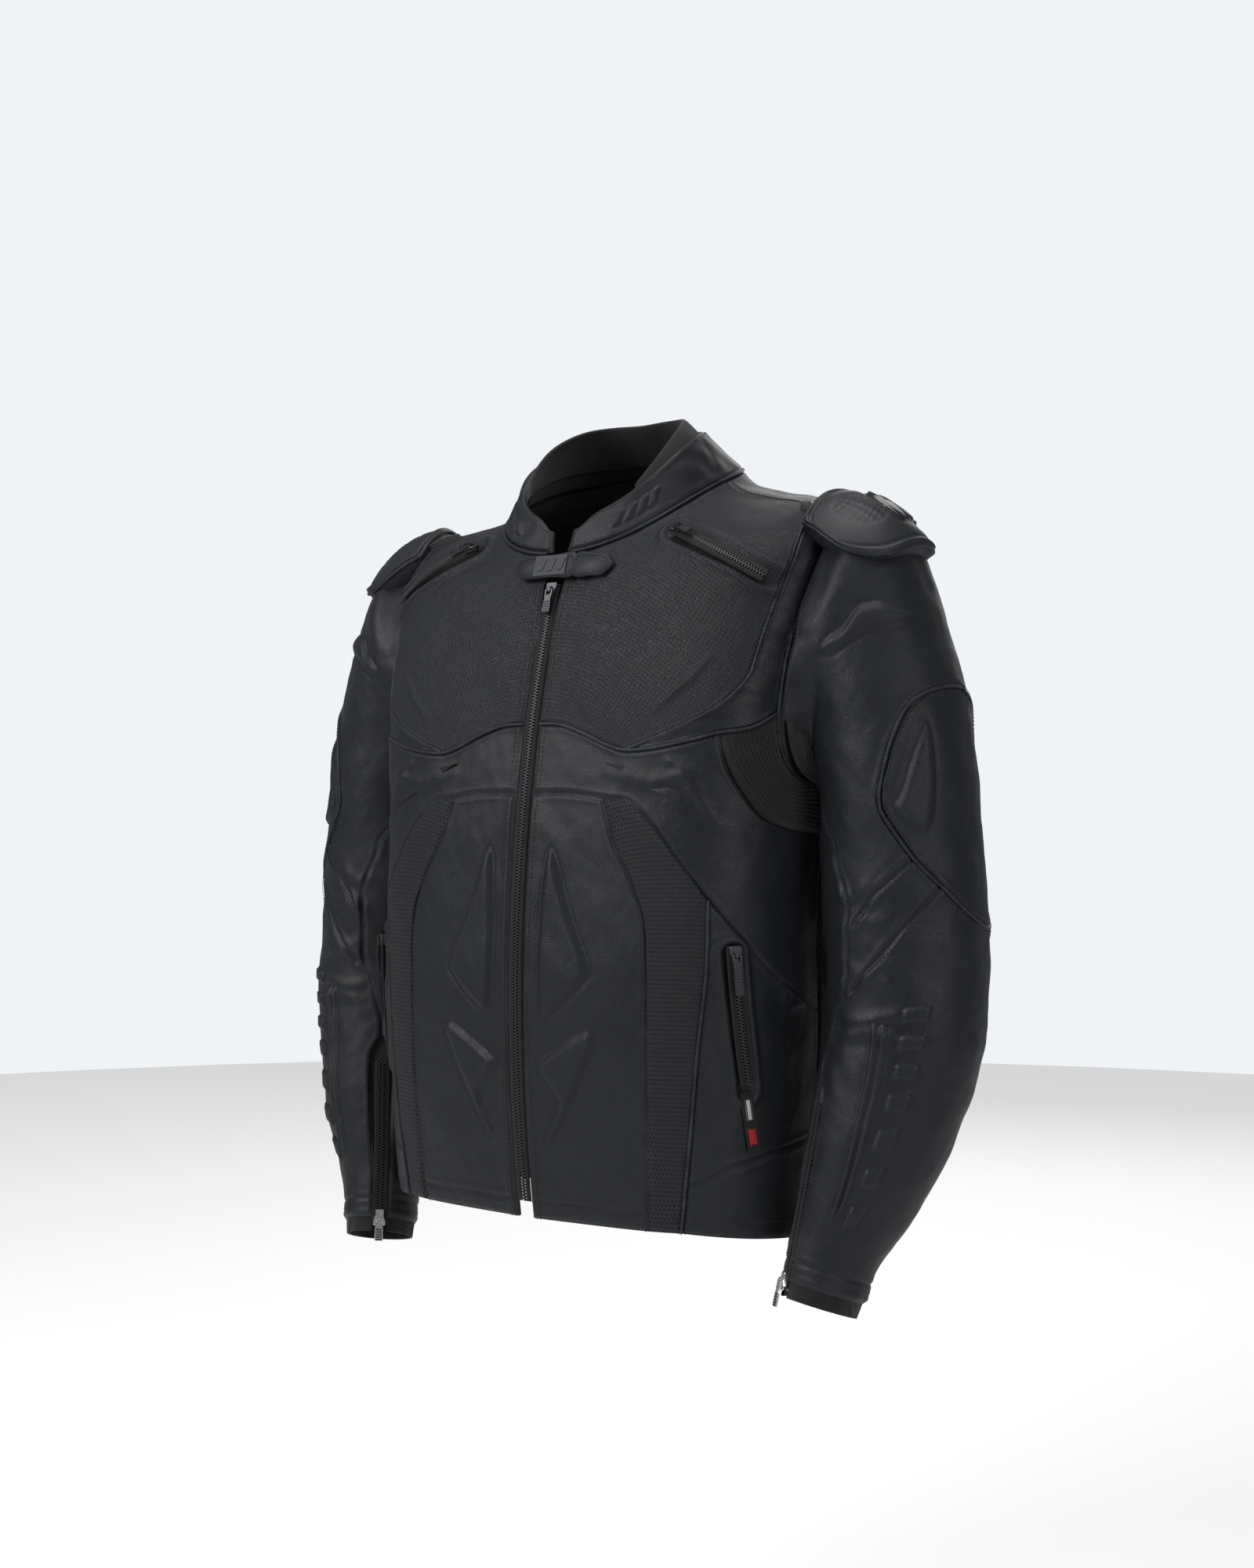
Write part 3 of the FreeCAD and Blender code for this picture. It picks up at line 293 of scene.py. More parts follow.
def coons(bottom, top, left, right):
    """A function of (a, b), 0 to 1, that fills four edge curves given as rows of (phi, v)."""

    def fill(a, b):
        lo, hi, le, ri = along(bottom, a), along(top, a), along(left, b), along(right, b)
        a, b = a[..., None], b[..., None]
        flat = ((1 - a) * (1 - b) * bottom[0] + a * (1 - b) * bottom[-1]
                + (1 - a) * b * top[0] + a * b * top[-1])
        return (1 - b) * lo + b * hi + (1 - a) * le + a * ri - flat

    return fill


def front_seam(s):
    """The sleeve angle of the seam down the sleeve's front, which ends in the cuff's zip."""
    i = np.clip(np.searchsorted(FRONT_SEAM[:, 0], s, side="right") - 1, 0, len(FRONT_SEAM) - 2)
    f = (s - FRONT_SEAM[i, 0]) / (FRONT_SEAM[i + 1, 0] - FRONT_SEAM[i, 0])
    turn = FRONT_SEAM[i + 1, 1] - FRONT_SEAM[i, 1]
    return np.radians(FRONT_SEAM[i, 1] + turn * f * f * (3 - 2 * f))


def sleeve_fill(outer):
    """(psi, s) from the front seam to the back seam, over the outside or the underside."""

    def fill(a, b):
        s = 0.05 + (CUFF - 0.05) * b
        opening = ZIP_ROOM * np.clip((s - ZIP_TOP + 0.35) / 0.35, 0, 1)
        seam = front_seam(s)
        if outer:
            psi = seam + opening + (BACK_SEAM - seam - opening) * a
        else:
            start = BACK_SEAM - 2 * math.pi
            psi = start + (seam - opening - start) * a
        return np.stack([psi, s], -1)

    return fill


# ---------------------------------------------------------------- fields used by reliefs


def smooth(t):
    t = np.clip(t, 0, 1)
    return t * t * (3 - 2 * t)


def ripple(p, wavelength, seed):
    """A soft aperiodic field of about -1 to 1 that varies over about one wavelength."""
    rng = np.random.default_rng(seed)
    total = np.zeros(p.shape[:-1])
    for _ in range(7):
        way = rng.normal(size=3)
        way *= 2 * math.pi / (wavelength * rng.uniform(0.75, 1.5) * np.linalg.norm(way))
        total += np.sin(p @ way + rng.uniform(0, 6.28) + 0.9 * np.sin(p[..., ::-1] @ way * 0.6))
    return total / 3.2


def to_line(u, w, line):
    """The distance from points (u, w) to a polyline of (u, w) corners."""
    best = np.full(u.shape, 1e9)
    for (x0, y0), (x1, y1) in zip(line[:-1], line[1:]):
        dx, dy = x1 - x0, y1 - y0
        t = np.clip(((u - x0) * dx + (w - y0) * dy) / (dx * dx + dy * dy + 1e-9), 0, 1)
        best = np.minimum(best, np.hypot(u - x0 - t * dx, w - y0 - t * dy))
    return best


def inside(u, w, outline):
    """The signed distance to a closed outline, positive inside it."""
    ring = list(outline) + [outline[0]]
    within = np.zeros(u.shape, bool)
    for (x0, y0), (x1, y1) in zip(ring[:-1], ring[1:]):
        crosses = (y0 > w) != (y1 > w)
        within ^= crosses & (u < (x1 - x0) * (w - y0) / (y1 - y0 + 1e-9) + x0)
    return np.where(within, 1, -1) * to_line(u, w, ring)


def rounded(outline, per_side=6):
    """A closed outline turned into a smooth closed curve through its corners."""
    ring = np.array(list(outline) * 3, float)
    n = len(outline)
    t = n + np.arange(n * per_side) / per_side
    return spline(ring, t)


def pad_relief(u, w, outline, height, edge=5.0, groove=0.9):
    """A raised soft pad with a pressed line round it."""
    d = inside(u, w, outline)
    return height * smooth((d + 1) / edge) - groove * np.exp(-((d + 0.8) / 1.5) ** 2)


def crease(u, w, line, width, depth):
    """A rounded fold along a polyline, which fades at its ends."""
    ends = [np.hypot(u - line[k][0], w - line[k][1]) for k in (0, -1)]
    fade = smooth(np.minimum(*ends) / (3.0 * width))
    return depth * np.exp(-(to_line(u, w, line) / width) ** 2) * fade


def seam_groove(u, w, line, depth=1.5, width=1.5, swell=0.7):
    """A sewn seam: a narrow valley with a slight swell on both sides."""
    d = to_line(u, w, line)
    return -depth * np.exp(-(d / width) ** 2) + swell * np.exp(-((d - 3.6) / 2.2) ** 2)


# ---------------------------------------------------------------- meshes


def spacing(length, step, edges=(0.0, 0.7, 1.5, 2.6, 4.2, 6.4)):
    """Shares of a length in mm: fine next to both ends, and about step apart between them."""
    edges = [e for e in edges if e < length / 3]
    inner = np.linspace(edges[-1], length - edges[-1], max(int((length - 2 * edges[-1]) / step), 2) + 1)
    row = np.concatenate([edges[:-1], inner, [length - e for e in reversed(edges[:-1])]])
    return row / length


def link(name, verts, faces, material, mirror=False, smooth_shade=True):
    """A new mesh object from millimetre vertices; mirror makes the right-hand twin."""
    verts = np.asarray(verts, float) * MM
    if mirror:
        verts = verts * (-1, 1, 1)
        faces = [tuple(reversed(f)) for f in faces]
    mesh = bpy.data.meshes.new(name)
    mesh.from_pydata(verts.tolist(), [], [tuple(int(i) for i in f) for f in faces])
    mesh.polygons.foreach_set("use_smooth", [smooth_shade] * len(mesh.polygons))
    mesh.materials.append(material)
    mesh.update()
    obj = bpy.data.objects.new(name, mesh)
    bpy.context.scene.collection.objects.link(obj)
    return obj


def unit(vectors):
    """Vectors scaled to a length of one."""
    return vectors / (np.linalg.norm(vectors, axis=-1, keepdims=True) + 1e-12)


def running(points, axis):
    """Distances from a grid's first row (axis 0) or column (axis 1), measured along the grid."""
    steps = np.linalg.norm(np.diff(points, axis=axis), axis=-1)
    return np.insert(np.cumsum(steps, axis), 0, 0, axis)


def quads_of(n, m):
    """The faces of a grid of n by m points, and the numbers of the points."""
    index = np.arange(n * m).reshape(n, m)
    quads = np.stack([index[:-1, :-1], index[1:, :-1], index[1:, 1:], index[:-1, 1:]], -1)
    return quads.reshape(-1, 4), index


def stacked(layers, count, start=0):
    """The faces of closed rings of count points laid one on another, with both ends capped."""
    faces = []
    for low in range(start, start + (layers - 1) * count, count):
        for k in range(count):
            a, b = low + k, low + (k + 1) % count
            faces.append((a, b, b + count, a + count))
    last = start + (layers - 1) * count
    return faces + [tuple(range(start, start + count))[::-1], tuple(range(last, last + count))]


def write_cut(obj, uv):
    """Stores a UV map in metres along the cloth, from one row per vertex."""
    index = np.empty(len(obj.data.loops), int)
    obj.data.loops.foreach_get("vertex_index", index)
    obj.data.uv_layers.new(name="cut").data.foreach_set("uv", uv[index].reshape(-1))


class Panel:
    """A fine grid on a surface, with relief, turned-in edges, and lines that run inside its edges."""

    def __init__(self, surface, fill, step, relief, centre, drop=1.5, skirt=3.0):
        share = np.linspace(0, 1, 25)
        q = fill(*np.meshgrid(share, share, indexing="ij"))
        probe = surface(q[..., 0], q[..., 1])
        rows = [spacing(running(probe, axis).max(), step) for axis in (0, 1)]
        q = fill(*np.meshgrid(*rows, indexing="ij"))
        self.p, self.q, self.skirt = q[..., 0], q[..., 1], skirt
        self.base = surface(self.p, self.q)
        n = unit(self.winding(self.base))
        self.normal = n * np.sign(np.sum(n * (self.base - np.asarray(centre, float)), axis=-1).mean())
        left, bottom = running(self.base, 0), running(self.base, 1)
        self.dist = [left, left[-1:] - left, bottom, bottom[:, -1:] - bottom]
        self.edge = np.minimum.reduce(self.dist)
        height = -drop * np.exp(-(self.edge / 2.0) ** 2) + 0.35 * np.exp(-((self.edge - 4) / 2.2) ** 2)
        if relief:
            height = height + relief(self.base, self) * smooth(self.edge / 3.0)
        self.points = self.base + self.normal * height[..., None]

    @staticmethod
    def winding(points):
        """Normals on the side that the grid's own faces show."""
        return np.cross(np.gradient(points, axis=0), np.gradient(points, axis=1))

    def build(self, name, finish, mirror=False):
        """The panel's mesh, with a skirt turned in round its edge."""
        n, m = self.points.shape[:2]
        quads, index = quads_of(n, m)
        ring = np.concatenate([index[:-1, 0], index[-1, :-1], index[:0:-1, -1], index[0, :0:-1]])
        flat, normal = self.points.reshape(-1, 3), self.normal.reshape(-1, 3)
        under = flat[ring] - normal[ring] * self.skirt
        below = n * m + np.arange(len(ring))
        rim = np.stack([ring, below, np.roll(below, -1), np.roll(ring, -1)], -1)
        faces = np.vstack([quads, rim])
        if np.sum(self.winding(self.points) * self.normal) < 0:
            faces = faces[:, ::-1]
        obj = link(name, np.vstack([flat, under]), faces, finish_of(finish), mirror)
        edge = np.concatenate([self.edge.reshape(-1), np.zeros(len(ring))]) * MM
        obj.data.attributes.new("seam_distance", "FLOAT", "POINT").data.foreach_set("value", edge)
        return obj

    def line(self, where, inset, lift=STITCH_LIFT):
        """Points and normals of a line that runs inset mm inside one edge of the panel."""
        number = {"left": 0, "right": 1, "bottom": 2, "top": 3}[where]
        d, pts, nrm = self.dist[number], self.points, self.normal
        if number > 1:
            d, pts, nrm = d.T, pts.transpose(1, 0, 2), nrm.transpose(1, 0, 2)
        if number in (1, 3):
            d, pts, nrm = d[::-1], pts[::-1], nrm[::-1]
        row = np.clip((d < inset).sum(0) - 1, 0, len(d) - 2)
        col = np.arange(d.shape[1])
        f = ((inset - d[row, col]) / (d[row + 1, col] - d[row, col] + 1e-9))[:, None]
        p = pts[row, col] * (1 - f) + pts[row + 1, col] * f
        k = nrm[row, col] * (1 - f) + nrm[row + 1, col] * f
        return p + k * lift, k


def resample(points, normals, pitch):
    """A polyline and its normals at an even pitch."""
    s = running(points, 0)
    t = np.linspace(0, s[-1], max(int(s[-1] / pitch), 1) + 1)
    at, up = (np.stack([np.interp(t, s, v[:, k]) for k in range(3)], -1) for v in (points, normals))
    return at, unit(up)


def tube(points, normals, radius, sides=8, flat=1.0, pitch=2.5):
    """Vertices and faces of a rounded cord that lies on a surface."""
    at, up = resample(points, normals, pitch)
    across = unit(np.cross(unit(np.gradient(at, axis=0)), up))
    ang = np.arange(sides) * 2 * math.pi / sides
    taper = np.ones(len(at))
    taper[0] = taper[-1] = 0.35
    ring = (across[:, None] * np.cos(ang)[None, :, None] * radius
            + up[:, None] * np.sin(ang)[None, :, None] * radius * flat) * taper[:, None, None]
    return (at[:, None] + ring).reshape(-1, 3), stacked(len(at), sides)


def stitches(points, normals, pitch=3.4, length=2.3):
    """Vertices and faces of a row of short rounded thread stitches."""
    radius = sizes().thread_radius / MM
    at, up = resample(points, normals, pitch)
    way = unit(np.gradient(at, axis=0))
    across = np.cross(way, up)
    turns = [2 * math.pi * k / STITCH_SIDES for k in range(STITCH_SIDES)]
    verts, faces = [], []
    for p, t, n, x in zip(at[:-1], way[:-1], up[:-1], across[:-1]):
        faces += stacked(len(STITCH_RINGS), STITCH_SIDES, len(verts))
        for shift, wide, lift in STITCH_RINGS:
            c = p + t * (shift * length) + n * (lift * radius)
            verts += [c + (x * math.cos(g) + n * math.sin(g)) * radius * wide for g in turns]
    return np.array(verts), faces


class Bundle:
    """Many small solids that become one object."""

    def __init__(self):
        self.verts, self.faces, self.count = [], [], 0

    def add(self, verts, faces):
        if len(verts):
            self.verts.append(np.asarray(verts, float))
            self.faces += [tuple(int(i) + self.count for i in f) for f in faces]
            self.count += len(verts)

    def moved(self, place):
        """The same solids with their vertices changed by a function."""
        self.verts = [place(v) for v in self.verts]
        return self

    def build(self, name, finish, mirror=False, smooth_shade=True):
        return link(name, np.vstack(self.verts), self.faces, finish_of(finish), mirror, smooth_shade)

    def fix(self, name, finish, nodes=(), body="shell", mirror=False, smooth_shade=True):
        settle(self.build(name, finish, mirror, smooth_shade), body, finish, nodes)


def prism(outline, low, high, bevel):
    """A flat plate of that outline with bevelled edges, as vertices and faces in its own plane."""
    ring = np.array(outline, float)
    inner = ring + unit(ring.mean(0) - ring) * bevel
    layers = ((inner, low), (ring, low + bevel), (ring, high - bevel), (inner, high))
    verts = np.vstack([np.column_stack([r, np.full(len(r), z)]) for r, z in layers])
    return verts, stacked(len(layers), len(ring))


# ---------------------------------------------------------------- finishes


def group(name, inputs, outputs, build):
    """A shader node group with named value sockets, built once."""
    tree = bpy.data.node_groups.get(name)
    if tree:
        return tree
    tree = bpy.data.node_groups.new(name, "ShaderNodeTree")
    for label, default in inputs:
        socket = tree.interface.new_socket(label, in_out="INPUT", socket_type="NodeSocketFloat")
        socket.default_value = default
    for label in outputs:
        tree.interface.new_socket(label, in_out="OUTPUT", socket_type="NodeSocketFloat")
    build(tree, tree.nodes.new("NodeGroupInput"), tree.nodes.new("NodeGroupOutput"))
    return tree


def feed(made, values):
    """Sets a node's inputs from names that have _ for a space."""
    for key, value in values.items():
        made.inputs[key.replace("_", " ")].default_value = value


def node(tree, kind, links=(), **values):
    """A node with its properties, its named input values, and its links set."""
    made = tree.nodes.new(kind)
    for key, value in values.items():
        if hasattr(made, key) and key not in made.inputs:
            setattr(made, key, value)
        else:
            feed(made, {key: value})
    for source, target in links:
        tree.links.new(source, made.inputs[target])
    return made


def noise(tree, scale, detail, **values):
    """A noise in the object's own coordinates, as a value socket."""
    place = node(tree, "ShaderNodeTexCoord").outputs["Object"]
    return node(tree, "ShaderNodeTexNoise", [(place, "Vector")], Scale=scale, Detail=detail,
                **values).outputs["Fac"]


def ranged(tree, value, start=0.0, end=1.0, low=0.0, high=1.0, **values):
    """A value carried from the range start to end over to low to high."""
    return node(tree, "ShaderNodeMapRange", [(value, "Value")], From_Min=start, From_Max=end,
                To_Min=low, To_Max=high, **values).outputs["Result"]


def mixed(tree, factor, first, second):
    """The mix of two colours; the first may be a socket."""
    made = node(tree, "ShaderNodeMix", [(factor, "Factor")], data_type="RGBA")
    if isinstance(first, tuple):
        made.inputs["A"].default_value = first
    else:
        tree.links.new(first, made.inputs["A"])
    made.inputs["B"].default_value = second
    return made.outputs["Result"]


def bumped(tree, core, height, strength, distance):
    """Links a height to the shader's normal, distance in metres."""
    made = node(tree, "ShaderNodeBump", [(height, "Height")], Strength=strength, Distance=distance)
    tree.links.new(made.outputs["Normal"], core.inputs["Normal"])


def calc(tree, operation, *terms):
    """A Math node over sockets and numbers; returns its output."""
    made = tree.nodes.new("ShaderNodeMath")
    made.operation = operation
    for k, term in enumerate(terms):
        if isinstance(term, (int, float)):
            made.inputs[k].default_value = term
        else:
            tree.links.new(term, made.inputs[k])
    return made.outputs[0]


def grain_group():
    """Pebbled leather grain: cells with soft valleys, finer pores, and long soft creases."""

    def build(tree, given, out):
        place = node(tree, "ShaderNodeTexCoord").outputs["Object"]
        cells = node(tree, "ShaderNodeTexVoronoi", [(place, "Vector"), (given.outputs["Cells"], "Scale")],
                     feature="DISTANCE_TO_EDGE").outputs["Distance"]
        pebble = ranged(tree, cells, 0.0, 0.32, interpolation_type="SMOOTHSTEP")
        height = None
        for value, label in ((pebble, "Pebble"), (noise(tree, 2600.0, 3.0), "Pores"),
                             (noise(tree, 38.0, 5.0, Roughness=0.6), "Creases")):
            part = calc(tree, "MULTIPLY", value, given.outputs[label])
            height = calc(tree, "ADD", height, part) if height else part
        tree.links.new(height, out.inputs["Height"])
        tree.links.new(noise(tree, 9.0, 4.0), out.inputs["Patches"])

    inputs = (("Cells", 900.0), ("Pebble", 0.6), ("Pores", 0.25), ("Creases", 0.8))
    return group("leather_grain", inputs, ("Height", "Patches"), build)


def dots_group():
    """Rows of punched holes laid out in a panel's own cut pattern; 1 inside a hole."""

    def build(tree, given, out):
        flat = node(tree, "ShaderNodeUVMap", uv_map="cut").outputs["UV"]
        share = node(tree, "ShaderNodeVectorMath", [(flat, 0)], operation="SCALE")
        tree.links.new(given.outputs["Per metre"], share.inputs["Scale"])
        parts = node(tree, "ShaderNodeSeparateXYZ", [(share.outputs[0], 0)])
        row = calc(tree, "FLOOR", parts.outputs[1])
        shift = calc(tree, "MULTIPLY", calc(tree, "MODULO", row, 2.0), 0.5)
        u = calc(tree, "SUBTRACT", calc(tree, "FRACT", calc(tree, "ADD", parts.outputs[0], shift)), 0.5)
        w = calc(tree, "SUBTRACT", calc(tree, "FRACT", parts.outputs[1]), 0.5)
        far = calc(tree, "SQRT", calc(tree, "ADD", calc(tree, "MULTIPLY", u, u),
                                      calc(tree, "MULTIPLY", w, w)))
        hole = node(tree, "ShaderNodeMapRange", [(far, "Value"), (given.outputs["Radius"], "From Min")],
                    From_Max=0.1, interpolation_type="SMOOTHSTEP")
        tree.links.new(calc(tree, "ADD", given.outputs["Radius"], 0.1), hole.inputs["From Max"])
        tree.links.new(calc(tree, "SUBTRACT", 1.0, hole.outputs["Result"]), out.inputs["Hole"])

    return group("punched_dots", (("Per metre", 260.0), ("Radius", 0.2)), ("Hole",), build)


def rub_and_highlight_group():
    """Wear in random patches, and a painted highlight along a panel's seam edges and on raised ridges: 1
    where it is lightened.
    """

    def build(tree, given, out):
        near = node(tree, "ShaderNodeAttribute", attribute_name="seam_distance").outputs["Fac"]
        # painted highlight: lighter near the rolled panel edges by the seams, shown only in random wear
        # patches
        edge = ranged(tree, near, 0.001, 0.007, 1.0, 0.0)
        rubbed_and_lit = ranged(tree, noise(tree, 55.0, 6.0, Roughness=0.7), 0.42, 0.68)
        # painted highlight: lighter on convex ridges
        ridge = ranged(tree, node(tree, "ShaderNodeNewGeometry").outputs["Pointiness"], 0.51, 0.6)
        total = calc(tree, "MAXIMUM", calc(tree, "MULTIPLY", edge, rubbed_and_lit), ridge)
        tree.links.new(calc(tree, "MULTIPLY", total, given.outputs["Amount"]), out.inputs["Worn"])

    return group("seam_rub_and_highlight", (("Amount", 0.5),), ("Worn",), build)


def weave_group():
    """A knitted or woven cloth: ribs crossed by finer threads, as a height from 0 to 1."""

    def build(tree, given, out):
        flat = node(tree, "ShaderNodeUVMap", uv_map="cut").outputs["UV"]
        parts = node(tree, "ShaderNodeSeparateXYZ", [(flat, 0)])
        waves = []
        for k, label in enumerate(("Across", "Along")):
            turn = calc(tree, "MULTIPLY", calc(tree, "MULTIPLY", parts.outputs[k], given.outputs[label]),
                        2 * math.pi)
            waves.append(calc(tree, "ABSOLUTE", calc(tree, "SINE", turn)))
        tree.links.new(calc(tree, "MULTIPLY", waves[0], waves[1]), out.inputs["Height"])

    return group("knit_weave", (("Across", 600.0), ("Along", 800.0)), ("Height",), build)


def shader(name, roughness, metallic=0.0, **values):
    """A new material and its tree and Principled BSDF."""
    made = bpy.data.materials.new(name)
    made.use_nodes = True
    core = made.node_tree.nodes["Principled BSDF"]
    feed(core, {"Roughness": roughness, "Metallic": metallic, **values})
    return made, made.node_tree, core


def placed(tree, build, **values):
    """A node that holds that group, with its input values."""
    made = tree.nodes.new("ShaderNodeGroup")
    made.node_tree = build()
    feed(made, values)
    return made


def tint(colour, share):
    return tuple(min(c * share, 1.0) for c in colour[:3]) + (1.0,)


def leather(name, colour, roughness, holes=None, pebble=0.6, creases=0.8, bump=0.4, rub_and_highlight=0.6,
            cells=900.0):
    """Black leather: pebbled, a little bluer and lighter where the finish is worn and where a highlight is
    painted along seam edges and ridges, with a satin sheen.
    """
    made, tree, core = shader(name, roughness, Specular_IOR_Level=0.34, Sheen_Weight=0.02,
                              Sheen_Roughness=0.4)
    grain = placed(tree, grain_group, Cells=cells, Pebble=pebble, Creases=creases)
    rubbed_and_lit = placed(tree, rub_and_highlight_group, Amount=rub_and_highlight).outputs["Worn"]
    height, patches = grain.outputs["Height"], grain.outputs["Patches"]
    base = mixed(tree, patches, tint(colour, 0.8), tint(colour, 1.35))
    # lighter where worn, and a painted highlight at the seam edges and on ridges
    base = mixed(tree, rubbed_and_lit, base, tint(colour, 3.2))
    rough = ranged(tree, patches, 0.3, 0.7, roughness - 0.05, roughness + 0.08)
    if holes:
        hole = placed(tree, dots_group, Per_metre=holes[0], Radius=holes[1]).outputs["Hole"]
        # painted shade: the punched holes are darkened for the shadow inside them, over the dark backing that
        # shows through
        base = mixed(tree, hole, base, tint(colour, 0.12))
        height = calc(tree, "SUBTRACT", height, calc(tree, "MULTIPLY", hole, 3.0))
        rough = calc(tree, "ADD", rough, calc(tree, "MULTIPLY", hole, 0.3))
    tree.links.new(base, core.inputs["Base Color"])
    tree.links.new(rough, core.inputs["Roughness"])
    bumped(tree, core, height, bump, 0.0004)
    return made


def cloth(name, colour, roughness, across, along_way, bump, sheen):
    """A knitted cloth, darker between its threads, where shade is painted."""
    made, tree, core = shader(name, roughness, Sheen_Weight=sheen, Sheen_Roughness=0.5)
    knit = placed(tree, weave_group, Across=across, Along=along_way).outputs["Height"]
    # painted shade: darker in the valleys between the threads
    tree.links.new(mixed(tree, knit, tint(colour, 0.45), tint(colour, 1.3)), core.inputs["Base Color"])
    bumped(tree, core, knit, bump, 0.0005)
    return made


def speckled(made, tree, core, colour, texture, rub_and_highlight, spread, bump):
    """Fine noise in a hard finish's gloss and height, and a brighter tint in worn patches and as a painted
    highlight on its ridges.
    """
    rough = core.inputs["Roughness"]
    speck, (amount, bright) = noise(tree, *texture), rub_and_highlight
    rubbed_and_lit = placed(tree, rub_and_highlight_group, Amount=amount).outputs["Worn"]
    # brighter in worn patches, and a painted highlight on ridges
    tree.links.new(mixed(tree, rubbed_and_lit, tint(colour, 1.0), tint(colour, bright)), core.inputs["Base Color"])
    tree.links.new(ranged(tree, speck, low=rough.default_value - spread[0],
                          high=rough.default_value + spread[1]), rough)
    bumped(tree, core, speck, *bump)
    return made


def metal(name, colour, roughness):
    """Cast and tumbled metal, brighter in rubbed patches and with a painted highlight on its convex ridges.
    """
    return speckled(*shader(name, roughness, 1.0), colour, (900.0, 4.0), (0.8, 1.9), (0.08, 0.12),
                    (0.2, 0.0002))


def moulded(name, colour, roughness, grain, scale=1500.0, coat=0.0):
    """Moulded rubber or plastic with a fine spark-eroded grain."""
    return speckled(*shader(name, roughness, Coat_Weight=coat, Coat_Roughness=0.08), colour,
                    (scale, 3.0), (0.5, 2.4), (0.06, 0.08), (grain, 0.0003))


FINISHES = {}


def finish_of(name):
    """The jacket's material of that name, made when it is first asked for."""
    if name not in FINISHES:
        colours = bpy.context.scene.jacket_colours
        hide, thread = colours.leather, colours.thread
        make = {
            "smooth_leather": lambda: leather(name, hide, 0.40, pebble=0.45, creases=1.0, bump=0.45),
            "creased_leather": lambda: leather(name, hide, 0.36, pebble=0.3, creases=2.6, bump=0.6),
            "chest_leather": lambda: leather(name, tint(hide, 1.1), 0.46, holes=(330.0, 0.11), pebble=0.9,
                                             bump=0.5, cells=760.0),
            "punched_leather": lambda: leather(name, tint(hide, 1.1), 0.48, holes=(300.0, 0.16), pebble=0.7,
                                               bump=0.7),
            "piping_leather": lambda: leather(name, tint(hide, 1.1), 0.38, pebble=0.5, creases=1.5,
                                              bump=0.5, rub_and_highlight=0.9),
            "thread": lambda: cloth(name, thread, 0.7, 900.0, 900.0, 0.3, 0.1),
            "stretch_cloth": lambda: cloth(name, colours.cloth, 0.8, 420.0, 520.0, 0.7, 0.15),
            "knit_cuff": lambda: cloth(name, colours.cloth, 0.9, 380.0, 260.0, 0.9, 0.2),
            "collar_foam": lambda: cloth(name, tint(colours.cloth, 0.9), 0.85, 900.0, 900.0, 0.35, 0.2),
            "mesh_lining": lambda: cloth(name, tint(colours.cloth, 1.6), 0.75, 160.0, 160.0, 1.0, 0.2),
            "zip_tape": lambda: cloth(name, tint(colours.cloth, 0.8), 0.85, 500.0, 900.0, 0.7, 0.1),
            "gunmetal": lambda: metal(name, colours.hardware, 0.32),
            "black_teeth": lambda: moulded(name, tint(colours.cup, 0.8), 0.42, 0.1),
            "bright_metal": lambda: metal(name, colours.cuff_slider, 0.24),
            "cup_skin": lambda: moulded(name, colours.cup, 0.46, 0.35),
            "cup_gloss": lambda: moulded(name, tint(colours.cup, 0.6), 0.16, 0.05, coat=0.7),
            "badge_rubber": lambda: moulded(name, tint(colours.cup, 1.2), 0.5, 0.4, 2200.0),
            "armour_foam": lambda: moulded(name, tint(colours.cup, 2.0), 0.8, 0.8, 700.0),
            "label_red": lambda: cloth(name, colours.label, 0.75, 900.0, 900.0, 0.4, 0.1),
            "label_white": lambda: cloth(name, (0.78, 0.78, 0.76, 1), 0.75, 900.0, 900.0, 0.4, 0.1),
        }
        FINISHES[name] = make[name]()
    return FINISHES[name]


def stand_in(finish, nodes):
    """Makes a finished piece stand for its CAD nodes by hiding them."""
    if nodes:
        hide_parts(*nodes)


def settle(obj, body, finish, nodes=()):
    """Lets a finished piece ride on its body."""
    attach(obj, body)
    stand_in(finish, nodes)


def cut_pattern(obj, panel):
    """A UV map in metres along a panel's own cloth; the skirt keeps none."""
    uv = np.stack([panel.dist[0].reshape(-1), panel.dist[2].reshape(-1)], -1) * MM
    write_cut(obj, np.vstack([uv, np.zeros((len(obj.data.vertices) - len(uv), 2))]))


def lay(panel, name, finish, nodes, mirror=False):
    """Builds a panel with its cut pattern and fixes it to the shell."""
    obj = panel.build(name, finish, mirror)
    cut_pattern(obj, panel)
    settle(obj, "shell", finish, nodes)


# ---------------------------------------------------------------- reliefs of the body panels

UPPER_PAD = rounded([(27, 279), (34, 277), (48, 238), (66, 196), (60, 182), (40, 164), (26, 160),
                     (22, 190), (23, 240)])
LOWER_PAD = rounded([(69, 146), (60, 146), (24, 124), (22, 116), (38, 92), (26, 66), (31, 66),
                     (52, 100), (71, 140)])


def softness(p, _panel=None, amount=1.0):
    """The slow waves that worn leather keeps over a body."""
    return amount * (0.9 * ripple(p, 120, 11) + 0.45 * ripple(p, 46, 12) + 0.16 * ripple(p, 17, 13))


def lower_front_relief(p, panel):
    x, z = p[..., 0], p[..., 2]
    h = softness(p) + pad_relief(x, z, UPPER_PAD, 3.4, 7.0) + pad_relief(x, z, LOWER_PAD, 3.0, 6.0)
    h += seam_groove(x, z, [(EDGE_X, 15), (115, 15)], 0.9, 1.2, 0.5)
    return h + 0.5 * np.exp(-((x - 12) / 4) ** 2)


def strip_relief(p, panel):
    return softness(p, amount=0.6) + 0.9 * smooth(panel.edge / 9)


